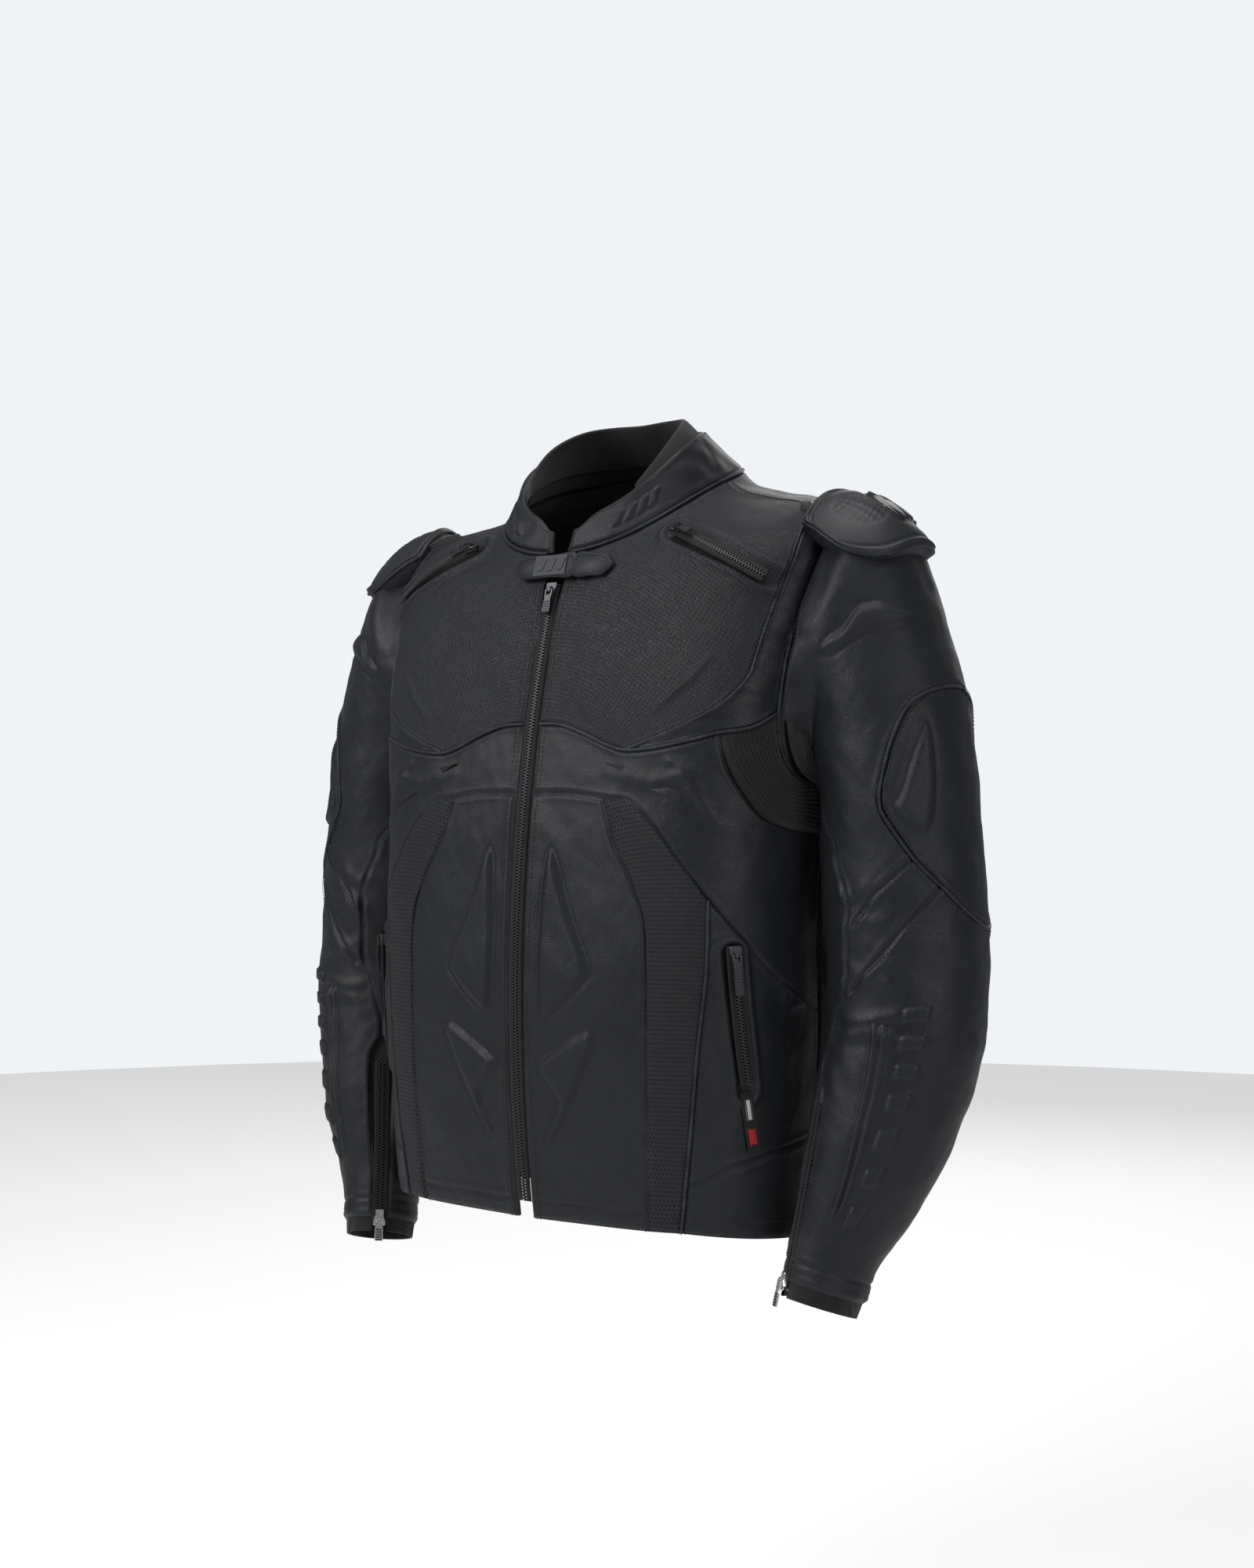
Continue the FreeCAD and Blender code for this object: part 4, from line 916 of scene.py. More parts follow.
def side_relief(p, panel):
    y, z = p[..., 1], p[..., 2]
    h = softness(p, amount=1.3)
    h += seam_groove(y, z, [(-100, 37), (-80, 50), (-44, 59), (13, 66)], 1.4, 1.5, 0.9)
    for k, top in enumerate((232, 214, 188)):
        h += crease(y, z, [(-66 + 12 * k, top), (-30, top - 22), (8, top - 12)], 5.0, 1.5)
    gap = to_line(y, z, [(-83, 209), (-79, 160), (-71, 106)])
    return h + 3.0 * np.exp(-((gap - 8.7) / 2.9) ** 2)


def band_relief(p, panel):
    x, z = p[..., 0], p[..., 2]
    h = softness(p, amount=1.25)
    for k in range(4):
        h += crease(x, z, [(118 + 8 * k, 352 - 9 * k), (150 + 4 * k, 338 - 14 * k)], 3.4, 1.3)
    h += crease(x, z, [(60, 345), (110, 332), (150, 342)], 6.0, 1.3)
    return h


def chest_relief(p, panel):
    x, z = p[..., 0], p[..., 2]
    h = softness(p, amount=0.9)
    welt = to_line(x, z, [(94, 524), (126, 511), (155, 498), (181, 482)])
    h += np.where(z > 450, 3.6 * np.exp(-((welt - 8.7) / 2.9) ** 2), 0)
    for k in range(5):
        h += crease(x, z, [(104 + 7 * k, 380 + 5 * k), (132 + 5 * k, 408 + 6 * k)], 2.6, 0.7)
    return h


def armhole_strip_relief(p, panel):
    z = p[..., 2]
    cross = np.sin(z / 3.6 + 1.4 * ripple(p, 40, 5)) * smooth(panel.edge / 6)
    return softness(p, amount=0.9) + 0.45 * cross * smooth((470 - z) / 80 + 0.4)


def ribs(pitch, depth, across=False):
    """Rounded cords side by side, which narrow a little and sink where they meet a seam."""

    def relief(p, panel):
        run = panel.dist[0] if across else panel.dist[2]
        wave = np.abs(np.sin(math.pi * (run + 0.6 * ripple(p, 60, 31)) / pitch))
        return (depth * (wave ** 0.6) - 0.4 * depth) * smooth(panel.edge / 4) + 0.3 * softness(p)

    return relief


def back_relief(p, panel):
    x, z = np.abs(p[..., 0]), p[..., 2]
    h = softness(p, amount=1.1)
    for low, high in ((235, 300), (312, 372), (384, 436)):
        pad = rounded([(16, high - 4), (48, high), (66, high - 16), (58, low + 6), (18, low + 12)])
        h += np.where(p[..., 1] > 0, pad_relief(x, z, pad, 2.6, 7.0, 0.7), 0)
    return h


def yoke_relief(p, panel):
    return softness(p, amount=1.0) + 0.6 * ripple(p, 30, 7) * smooth(panel.edge / 20)


def straight(kind, at, heights):
    return kind(*[(at, z) for z in heights])


def body_fills():
    """Every body panel of the left half or of the middle, with its finish, relief and CAD nodes."""
    zip_edge = straight(front, EDGE_X, (1, 80, 160, 240, 325))
    low = ARC
    side_edge = straight(side, SIDE_Y, (-11, 30, 73, 116, 160))
    stretch_edge = straight(side, SIDE_Y, (-11, 30, 73, 116, 160, 204, 248, 291, 331))
    back_side = chain(straight(side, BACK_SIDE_Y, (-13, 40, 95, 150, 205, 260, 305)), ARMHOLE[9:10])
    back_edge = straight(back, BACK_X, (-16, 50, 118, 160, 205, 260, 320, 375, 430, YOKE_Z))
    band_gusset = side((13, 160), (12.5, 205), (11, 250), (11, 288.5), (-35, 297.3), (-61.5, 307.3),
                       (-77, 327), (-85, 346), (-88, 369))
    chest_edge = chain(front((EDGE_X, 378), (EDGE_X, 425), (EDGE_X, 470)), rad(4.4, NECK))
    neck_line = chain(*[rad(4.4 + (95 - 4.4) * i / 6, NECK) for i in range(7)])
    yoke_side = chain(ARMHOLE[13:14], back((160, 499), (125, 496)), back_edge[-1:])
    return {
        "lower_front_panel": (coons(hem(zip_edge[0, 0], STRIP_INNER[0, 0]), low, zip_edge, STRIP_INNER),
                              "smooth_leather", lower_front_relief, 2.2),
        "perforated_strip": (coons(hem(STRIP_INNER[0, 0], STRIP_OUTER[0, 0]), ARC_STRIP, STRIP_INNER,
                                   STRIP_OUTER), "punched_leather", strip_relief, 2.4),
        "side_panel": (coons(hem(STRIP_OUTER[0, 0], side_edge[0, 0]), ARC_SIDE, STRIP_OUTER, side_edge),
                       "smooth_leather", side_relief, 2.2),
        "chest_band": (coons(chain(ARC, ARC_STRIP[1:], ARC_SIDE[1:]), chain(WAVE, BAND_TOP[1:]),
                             straight(front, EDGE_X, (325, 352, 378)), band_gusset),
                       "smooth_leather", band_relief, 2.4),
        "chest_panel": (coons(WAVE, neck_line, chest_edge, chain(CHEST_OUTER, SHOULDER_SEAM[1:])),
                        "chest_leather", chest_relief, 2.4),
        "armhole_strip": (coons(chain(BAND_TOP, GUSSET_TOP[1:]), chain(CHEST_OUTER[-1:], ARMHOLE[:1]),
                                CHEST_OUTER, ARMHOLE[5::-1]),
                          "creased_leather", armhole_strip_relief, 1.7),
        "underarm_gusset": (coons(GUSSET_EDGE, ARMHOLE[5:9], GUSSET_TOP,
                                  straight(side, SIDE_Y, (291, 310, 331))),
                            "stretch_cloth", ribs(3.4, 1.5), 0.9),
        "side_stretch": (coons(hem(stretch_edge[0, 0], back_side[0, 0]), ARMHOLE[8:10], stretch_edge,
                               back_side), "stretch_cloth", ribs(5.6, 2.2, True), 1.3),
        "back_side_panel": (coons(hem(back_side[0, 0], back_edge[0, 0]), yoke_side,
                                  chain(back_side[:-1], ARMHOLE[9:14]), back_edge),
                            "smooth_leather", softness, 2.8),
    }


def middle(heights):
    """A back panel between the two long seams, whose edges pass through those heights."""
    edge = straight(back, BACK_X, heights)

    def across(corner, height):
        v = 0.0 if corner[1] < 0.01 else float(level(np.array([math.pi]), height)[0])
        half = np.array([corner, [(corner[0] + math.pi) / 2, v], [math.pi, v]])
        return np.vstack([half, turned(half[1::-1])])

    return coons(across(edge[0], heights[0]), across(edge[-1], heights[-1]), edge, turned(edge))


def back_fills():
    v = float(level(np.array([math.pi]), YOKE_Z)[0])
    half = chain(ARMHOLE[13:14], back((160, 499), (125, 496), (BACK_X, YOKE_Z)))
    low = chain(half, np.array([[math.radians(a), v] for a in (165, 180, 195)]), turned(half[::-1]))
    edge = chain(ARMHOLE[13:15], SHOULDER_SEAM)
    top = chain(*[rad(95 + 170 * i / 8, NECK) for i in range(9)])
    return {
        "back_panel": (middle((LUMBAR_HIGH, 260, 320, 375, 430, YOKE_Z)), "smooth_leather",
                       back_relief, 2.6),
        "lumbar_stretch_panel": (middle((LUMBAR_LOW, 160, LUMBAR_HIGH)), "stretch_cloth",
                                 ribs(6.2, 2.6), 1.5),
        "back_hem_panel": (middle((-16, 50, LUMBAR_LOW)), "smooth_leather", softness, 3.0),
        "back_yoke": (coons(low, top, edge, turned(edge)), "smooth_leather", yoke_relief, 2.8),
    }


# ---------------------------------------------------------------- lines on the surfaces


def framed(surface, p, q, centre):
    """Points and outward normals of a surface at parameters p and q."""
    at = surface(p, q)
    n = unit(np.cross(surface(p + 0.004, q) - at, surface(p, q + 0.01) - at))
    return at, n * np.sign(np.sum(n * (at - centre(at)), axis=-1, keepdims=True))


def body_axis(at):
    return np.stack([at[..., 0] * 0, at[..., 1] * 0 + 10, at[..., 2]], -1)


def sleeve_axis(at):
    z = at[..., 2]
    row = SLEEVE_RINGS[::-1]
    return np.stack([np.interp(z, row[:, 2], row[:, 0]), np.interp(z, row[:, 2], row[:, 1]), z], -1)


def body_line(points, lift=0.6, shift=0.0, count=160, surface=torso_skin, axis=body_axis):
    """A smooth line through (phi, v) or (psi, s) points, moved sideways on the surface by shift mm."""
    q = along(points, np.linspace(0, 1, count))
    at, n = framed(surface, q[:, 0], q[:, 1], axis)
    return at + np.cross(unit(np.gradient(at, axis=0)), n) * shift + n * lift, n


def sleeve_line(points, lift, shift=0.0):
    """A line through (psi in degrees, s) points on the sleeve."""
    rows = np.array([(math.radians(a), s) for a, s in points])
    return body_line(rows, lift, shift, 90, sleeve_skin, sleeve_axis)


# ---------------------------------------------------------------- sleeve reliefs

SLEEVE_RUN = np.concatenate([[0], np.cumsum(np.linalg.norm(np.diff(sleeve_point(
    np.full(13, math.radians(35)), np.arange(13.0)), axis=0), axis=1))])
ELBOW_SEAM = [(95.4, 3.76), (55.7, 3.72), (40.1, 3.77), (26.1, 4.04), (16.8, 4.44), (15.1, 4.68),
              (18.6, 4.9), (35, 5.43), (53.1, 5.79), (79.3, 6.17)]
ELBOW_REST = [(79.3, 6.17), (110, 6.3), (138, 6.0), (150, 5.3), (148, 4.6), (130, 3.95), (95.4, 3.76)]
UPPER_TUCK = [(35, 5.43), (7.5, 5.84), (-8.6, 6.25)]
LOWER_TUCK = [(53.1, 5.79), (25, 6.31), (2.4, 6.83), (-13.3, 7.22)]
LEAF = [(-0.7, 1.28), (16.2, 1.87), (28.6, 2.02), (38.6, 2.24), (52.5, 2.61), (68, 2.95),
        (49.3, 2.83), (22.4, 2.39), (6, 1.95)]
DROP = [(53.7, 4.0), (41.3, 4.26), (30.6, 4.63), (24.5, 4.78), (31.4, 5.0), (44.2, 5.13),
        (51.8, 4.97), (55.7, 4.66), (56, 4.26)]
BARS = ([(6, 7.8), (9.5, 7.8), (14, 10.5), (10.5, 10.6)],
        [(12.5, 7.8), (16, 7.8), (20, 10.4), (16.8, 10.5)])
HEM_END = 11.75


def spread(points):
    """(psi in degrees, s) points as millimetres over the opened-out sleeve."""
    pts = np.asarray(points, float)
    return np.stack([pts[..., 0] * 1.02, np.interp(pts[..., 1], np.arange(13), SLEEVE_RUN)], -1)


def sleeve_relief(p, panel):
    flat = spread(np.stack([np.degrees(panel.p), panel.q], -1))
    u, w = flat[..., 0], flat[..., 1]
    s, psi = panel.q, np.degrees(panel.p)
    h = softness(p, amount=1.35)
    h += 1.5 * np.sin(np.radians(psi * 7) + 1.6 * ripple(p, 150, 21)) * smooth((s - 0.6) / 1.5) \
        * smooth((4.2 - s) / 2.0) * 0.5
    h += pad_relief(u, w, rounded(spread(LEAF)), 3.0, 7.0)
    h += pad_relief(u, w, rounded(spread(DROP)), 3.2, 7.0)
    for seam in (ELBOW_SEAM + ELBOW_REST[1:], UPPER_TUCK, LOWER_TUCK):
        h += seam_groove(u, w, spread(seam), 1.5, 1.5, 0.9)
    for bar in BARS:
        h += pad_relief(u, w, spread(bar), 1.9, 2.2, 0.4)
    for k in range(7):  # raised slanted blocks down the forearm
        low = 7.35 + 0.49 * k
        block_shape = [(27, low + 0.10), (45 - 0.8 * k, low), (44 - 0.8 * k, low + 0.27),
                       (26.5, low + 0.36)]
        h += pad_relief(u, w, spread(block_shape), 2.1, 2.4, 0.5)
    for k, mid in enumerate((5.7, 6.35, 6.75, 7.15, 7.6, 8.1)):
        turn = -34 + 5 * (k % 3)
        line = spread([(turn, mid + 0.05), (turn + 24, mid + 0.16 * (-1) ** k),
                       (turn + 46 + 5 * k, mid - 0.12)])
        h += crease(u, w, line, 5.5, 1.7)
    for k, mid in enumerate((5.9, 6.6, 7.3)):
        line = spread([(-150, mid), (-105, mid + 0.2), (-60, mid - 0.1)])
        h += crease(u, w, line, 6.0, 2.0) + crease(u, w, line + (0, 13), 5.0, -1.2)
    h += seam_groove(u, w, spread([(-260, 11.35), (260, 11.35)]), 0.8, 1.0, 0.4)
    return h + 0.9 * smooth((s - 11.4) / 0.25)


def leather_sleeve(outer):
    whole = sleeve_fill(outer)

    def fill(a, b):
        return whole(a, b * (HEM_END - 0.05) / (CUFF - 0.05))

    return fill


ELBOW_START, ELBOW_END = (0.254, 0.018, 0.222), (0.254, 0.018, 0.132)


def bend(obj, hand, finish, nodes=()):
    """Bakes a sleeve piece's placement into its mesh and hides its CAD nodes; the elbow's ends are worked
    out, but the piece is not made to bend or fixed to a body.
    """
    sx = 1 if hand == "left" else -1
    start, end = [(sx * x, y, z) for x, y, z in (ELBOW_START, ELBOW_END)]
    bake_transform(obj)
    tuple(start)
    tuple(end)
    stand_in(finish, nodes)


def sheet_between(points, name, finish, mirror=False):
    """A plain grid of points as one skin."""
    quads, _ = quads_of(*points.shape[:2])
    obj = link(name, points.reshape(-1, 3), quads, finish_of(finish), mirror)
    write_cut(obj, np.stack([running(points, 0), running(points, 1)], -1).reshape(-1, 2) * MM)
    return obj


def hang(points, name, finish, nodes=(), body="shell", mirror=False):
    """A plain skin fixed to a body."""
    settle(sheet_between(points, name, finish, mirror), body, finish, nodes)


def doubled(points, normals, thick):
    """A skin folded back on itself: the outside, then the inside, as one closed loop of rows."""
    return np.concatenate([points, (points - normals * thick)[::-1], points[:1]], 0)


# ---------------------------------------------------------------- zip fasteners

TAPE_LOW, TAPE_HIGH = 2.3, 6.3  # how far the tape reaches from the middle of the teeth
# start, centre of the arc, its axis, degrees run, and the slider's x, y and z at the start
TRACKS = {
    "main": ((0, -79.793, 482), (0, 945.8, 170), (1, 0, 0), 25.288,
             (1, 0, 0), (0, 0.29104, 0.95671), (0, -0.95671, 0.29104)),
    "chest": ((100.7763, -55.4351, 525.2394), (129.6171, 48.196, 485.636),
              (0.454138, 0.204956, 0.867036), 44.514, (0.516215, 0.687652, 0.510546),
              (-0.854666, 0.375051, 0.359002), (0.055388, -0.621668, 0.78132)),
    "pocket": ((170.2236, -85.4746, 206.9851), (289.9093, 675.3984, 256.2661),
               (0.98704, -0.157315, 0.031702), 7.1278, (0.587904, 0.805784, 0.071283),
               (-0.041298, -0.058108, 0.997456), (0.807876, -0.589352, -0.000885)),
    "cuff": ((197.6883, -59.8766, -31.3461), (198.7067, -2049.6795, 365.8337),
             (0.992928, -0.02275, -0.116517), 3.6857, (-0.752296, 0.657635, -0.03959),
             (-0.118716, -0.19442, -0.973708), (-0.648041, -0.727817, 0.224333)),
}


def turn_rows(vectors, axis, angle):
    """Vectors turned about a unit axis by each angle (Rodrigues)."""
    axis, vectors = np.array(axis, float), np.asarray(vectors, float)
    c, s = np.cos(angle)[:, None], np.sin(angle)[:, None]
    return vectors * c + np.cross(axis, vectors) * s + axis * (vectors @ axis)[..., None] * (1 - c)


class Track:
    """The arc that a zip's teeth and slider follow."""

    def __init__(self, name):
        start, centre, axis, degrees, x, y, z = TRACKS[name]
        self.start, self.centre = np.array(start, float), np.array(centre, float)
        self.axis, self.whole = np.array(axis, float), math.radians(degrees)
        self.axes = [np.array(v, float) for v in (x, y, z)]
        self.radius = np.linalg.norm(self.start - self.centre)
        self.length = self.radius * self.whole

    def at(self, run):
        """Origin and the three axes at distances run from the start, one row each."""
        angle = np.atleast_1d(np.asarray(run, float)) / self.radius
        arm = np.tile(self.start - self.centre, (len(angle), 1))
        return (self.centre + turn_rows(arm, self.axis, angle),
                [turn_rows(np.tile(v, (len(angle), 1)), self.axis, angle) for v in self.axes])

    def place(self, verts):
        """Local millimetre points at the start, as model points."""
        v = np.asarray(verts, float)
        return self.start + v @ np.array(self.axes)



def teeth_of(track, pitch):
    """Both interlocked rows of a closed zip, one bevelled block per moulded coil turn."""
    made = Bundle()
    shape, faces = prism([(-0.6, -0.62), (2.6, -0.62), (2.6, 0.62), (-0.6, 0.62)], -1.1, 1.1, 0.3)
    runs = np.arange(-4.0, track.length, pitch / 2)
    origin, (x, y, z) = track.at(runs)
    for k in range(len(runs)):
        side_of = 1 if k % 2 else -1
        local = shape * (side_of, 1, 1)
        verts = origin[k] + local[:, :1] * x[k] + local[:, 1:2] * y[k] + local[:, 2:] * z[k]
        made.add(verts, faces if side_of > 0 else [tuple(reversed(f)) for f in faces])
    return made


def tape_points(track, side_of):
    """A strip of tape beside a row of teeth, closed round its own thickness."""
    runs = np.linspace(-5.0, track.length, max(int(track.length / 3), 8))
    origin, (x, _, z) = track.at(runs)
    middle_of = (TAPE_LOW + TAPE_HIGH) / 2
    across = ((TAPE_LOW, 0.45), (TAPE_LOW + 0.5, 0.6), (middle_of, 0.5), (TAPE_HIGH, 0.35),
              (TAPE_HIGH, -0.35), (middle_of, -0.4), (TAPE_LOW, -0.45), (TAPE_LOW, 0.45))
    return np.stack([origin + x * (side_of * a) + z * b for a, b in across])


def slider_solid():
    """A zip slider: two shield-shaped plates, a wedge between them, and an arched bail."""
    made = Bundle()
    shield = rounded([(-3.0, -6.5), (3.0, -6.5), (3.5, -1.5), (5.0, 3.2), (4.5, 6.2), (0, 6.5),
                      (-4.5, 6.2), (-5.0, 3.2), (-3.5, -1.5)], 4)
    shield[:, 0] = np.clip(shield[:, 0], -5, 5)
    shield[:, 1] = np.clip(shield[:, 1], -6.5, 6.5)
    for low in (1.5, -2.9):
        made.add(*prism(shield, low, low + 1.4, 0.45))
    made.add(*prism([(-0.4, -2.4), (0.4, -2.4), (1.0, 6.0), (-1.0, 6.0)], -1.6, 1.6, 0.1))
    for side_of in (-1, 1):
        rail = [(side_of * 3.0, -6.2), (side_of * 3.5, -1.5), (side_of * 4.9, 3.2), (side_of * 4.2, 3.4),
                (side_of * 2.9, -1.3), (side_of * 2.4, -6.2)]
        made.add(*prism(rail[::side_of], -1.6, 1.6, 0.12))
    arch = [(-2.5, 2.85), (-2.3, 4.4), (-1.5, 5.2), (1.5, 5.2), (2.3, 4.4), (2.5, 2.85), (1.3, 2.85),
            (1.1, 3.9), (-1.1, 3.9), (-1.3, 2.85)]
    verts, faces = prism(arch, -1.5, 1.5, 0.12)
    made.add(np.stack([verts[:, 2], verts[:, 0], verts[:, 1]], -1), faces)
    return made


def pull_solid(length, turned_over=False):
    """A pull tab: a fork round the bail, a waisted neck and a plate with a raised grip."""
    far, low = 0.6 - length, 3.5
    made, grip = Bundle(), Bundle()
    for side_of in (-1, 1):
        arm = [(side_of * 2.15, -4.6), (side_of * 3.45, -4.6), (side_of * 3.45, -0.2),
               (side_of * 3.0, 0.55), (side_of * 2.15, 0.55)]
        made.add(*prism(arm[::side_of], low, low + 1.5, 0.3))
    plate = rounded([(-3.4, -4.3), (3.4, -4.3), (3.0, -7.0), (3.45, -10), (3.45, far + 1.2),
                     (2.2, far + 0.05), (-2.2, far + 0.05), (-3.45, far + 1.2), (-3.45, -10),
                     (-3.0, -7.0)], 3)
    plate[:, 0], plate[:, 1] = np.clip(plate[:, 0], -3.5, 3.5), np.clip(plate[:, 1], far, -4.2)
    made.add(*prism(plate, low, low + 1.5, 0.35))
    for k in range(int((-9 - far) / 2.0)):
        y = -9.5 - 2.0 * k
        grip.add(*prism([(-2.5, y - 1.3), (2.5, y - 1.3), (2.5, y), (-2.5, y)], low + 1.4, low + 2.0, 0.3))
    if turned_over:
        for bundle in (made, grip):
            bundle.moved(lambda v: v * (-1, -1, 1))
    return made, grip


# ---------------------------------------------------------------- shoulder cups

CUP_CENTRE, CUP_RADII = (195.0, 28.0, 440.0), (92.0, 74.0, 116.5)
CUP_RIM = np.array([(49, -3), (37, 22), (44, 41), (66, 50), (95, 52), (121, 47), (141, 26), (133, 4)], float)
CUP_INNER = np.array([(51, -4), (72, -3), (91, 0), (110, 2), (131, 3)], float)


def cup_point(turn, rise):
    t, r = np.radians(turn), np.radians(rise)
    return np.stack([CUP_CENTRE[0] + CUP_RADII[0] * np.sin(r),
                     CUP_CENTRE[1] - CUP_RADII[1] * np.cos(t) * np.cos(r),
                     CUP_CENTRE[2] + CUP_RADII[2] * np.sin(t) * np.cos(r)], -1)


def cup_relief(p, panel):
    turn, rise = panel.p, panel.q
    h = 1.5 * np.exp(-((panel.edge - 2.6) / 1.9) ** 2) - 0.9 * np.exp(-((panel.edge - 6.4) / 1.3) ** 2)
    zone = inside(turn, rise, rounded([(58, 8), (80, 12), (84, 30), (62, 33), (52, 22)]))
    mesh = np.sin(math.pi * panel.dist[0] / 4.4) * np.sin(math.pi * panel.dist[2] / 4.4)
    h += -0.5 * smooth((zone + 1) / 2) + 0.45 * np.clip(mesh, -0.2, 1) * smooth(zone / 2)
    field = inside(turn, rise, rounded([(88, 10), (118, 12), (122, 36), (100, 44), (78, 40), (76, 34)]))
    return h - 1.0 * smooth((field + 1) / 3) * smooth(panel.edge / 12)


def blade_fill(k):
    """One raised slanted louvre on the outer back of the cup."""
    low = 84 + 9.0 * k

    def fill(a, b):
        rise = 14 + 26 * b - 1.5 * k * b
        return np.stack([low + 5.2 * a + 7.0 * (b - 0.5) ** 2 * 2.0 - 5 * b, rise], -1)

    return fill


# ---------------------------------------------------------------- what a user would change


def length_property(label, text, value, low, high):
    return FloatProperty(name=label, description=text, default=value, min=low, max=high,
                         subtype="DISTANCE", unit="LENGTH")


class JacketSizes(bpy.types.PropertyGroup):
    piping_radius: length_property("Piping", "Radius of the rolled piping in the seams",
                                   0.0014, 0.0005, 0.004)
    stitch_pitch: length_property("Stitch pitch", "Distance from one stitch to the next",
                                  0.0034, 0.002, 0.01)
    thread_radius: length_property("Thread", "Radius of the sewing thread", 0.00034, 0.0002, 0.001)
    tooth_pitch: length_property("Tooth pitch", "Distance between the teeth of one zip row",
                                 0.0024, 0.0015, 0.005)
    blades: IntProperty(name="Louvres", description="Raised louvres on each shoulder cup",
                        default=4, min=1, max=5)
    floor_drop: length_property("Floor drop", "How far the floor lies under the hem", 0.42, 0.1, 2.0)


def colour_property(label, text, value):
    return FloatVectorProperty(name=label, description=text, default=value, size=4, min=0.0, max=1.0,
                               subtype="COLOR")


class JacketColours(bpy.types.PropertyGroup):
    leather: colour_property("Leather", "Colour of the dyed leather", (0.0105, 0.0118, 0.0145, 1))
    thread: colour_property("Thread", "Colour of the sewing thread", (0.05, 0.053, 0.06, 1))
    cloth: colour_property("Cloth", "Colour of the stretch cloth, tapes and knit",
                           (0.008, 0.0085, 0.0105, 1))
    cup: colour_property("Cup", "Colour of the shoulder cups and moulded rubber",
                         (0.013, 0.0145, 0.0175, 1))
    hardware: colour_property("Hardware", "Colour of the dark zip sliders", (0.05, 0.05, 0.054, 1))
    cuff_slider: colour_property("Cuff sliders", "Colour of the bright sliders at the cuffs",
                                 (0.62, 0.62, 0.63, 1))
    label: colour_property("Label", "Colour of the mark on the pocket's label", (0.62, 0.012, 0.012, 1))


# ---------------------------------------------------------------- one operator for each group of pieces

PANELS = {}


def sizes():
    return bpy.context.scene.jacket_sizes


class JACKET_OT_stage(bpy.types.Operator):
    """Lays the floor, and sets the lights and the camera"""
    bl_idname = "jacket.stage"
    bl_label = "Stage, Lights and Camera"

    def execute(self, context):
        scene = context.scene
        made, tree, core = shader("studio_floor", 0.85, Emission_Color=(1.0, 1.0, 1.0, 1.0))
        direct = node(tree, "ShaderNodeLightPath").outputs["Is Camera Ray"]
        tree.links.new(ranged(tree, direct, high=0.45), core.inputs["Emission Strength"])
        pale = mixed(tree, noise(tree, 0.6, 2.0), (0.86, 0.86, 0.86, 1), (0.9, 0.9, 0.9, 1))
        tree.links.new(pale, core.inputs["Base Color"])
        r, z = 4200.0, -sizes().floor_drop / MM
        ring = [(r * math.cos(a), r * math.sin(a), z) for a in np.arange(64) * math.pi / 32]
        link("studio_floor", ring, [tuple(range(64))], made)
        world = bpy.data.worlds.new("studio")
        scene.world = world
        world.use_nodes = True
        sky = world.node_tree.nodes["Background"]
        sky.inputs["Color"].default_value = (0.95, 0.97, 1.0, 1)
        seen = node(world.node_tree, "ShaderNodeLightPath").outputs["Is Camera Ray"]
        world.node_tree.links.new(ranged(world.node_tree, seen, low=0.2, high=0.92),
                                  sky.inputs["Strength"])
        scene.view_settings.view_transform = "Standard"
        scene.view_settings.look = "None"
        lamps = (("key", (-1.2, -2.3, 1.8), 1.3, 46), ("fill", (2.7, -1.0, 0.9), 1.0, 14),
                 ("top", (0.2, -0.2, 2.4), 1.3, 17), ("back", (-0.8, 2.5, 1.5), 1.8, 16))
        for name, spot, size, watts in lamps:
            lamp = bpy.data.lights.new(name, "AREA")
            lamp.energy, lamp.size = watts, size
            holder = bpy.data.objects.new(name, lamp)
            scene.collection.objects.link(holder)
            holder.location = spot
            aim = Vector((0, 0, 0.3)) - Vector(spot)
            holder.rotation_euler = aim.to_track_quat("-Z", "Y").to_euler()
        camera = bpy.data.cameras.new("camera")
        camera.lens, camera.sensor_width, camera.shift_y = 46.8, 36.0, 0.01
        camera.clip_start, camera.clip_end = 0.05, 60.0
        turn = math.radians(35)
        holder = bpy.data.objects.new("camera", camera)
        scene.collection.objects.link(holder)
        right = Vector((math.cos(turn), math.sin(turn), 0))
        holder.location = (Vector((math.sin(turn), -math.cos(turn), 0)) * 1.65 + right * 0.012
                           + Vector((0, 0, 0.32)))
        holder.rotation_euler = (math.radians(90), 0, turn)
        scene.camera = holder
        return {"FINISHED"}


class JACKET_OT_body(bpy.types.Operator):
    """Cuts the body's leather, perforated and stretch panels"""
    bl_idname = "jacket.body"
    bl_label = "Body Panels"

    def execute(self, context):
        both = {"armhole_strip": "armhole_strips", "underarm_gusset": "underarm_gussets",
                "side_stretch": "side_stretch_panels"}
        middle_panels = back_fills()
        for name, (fill, finish, relief, step) in {**body_fills(), **middle_panels}.items():
            panel = PANELS[name] = Panel(torso_skin, fill, step, relief, BODY_MIDDLE)
            if name in middle_panels:
                lay(panel, name + "_skin", finish, [name])
                continue
            for hand in SIDES:
                lay(panel, name + "_skin_" + hand, finish, [both.get(name, name + "_" + hand)],
                    hand == "right")
        return {"FINISHED"}


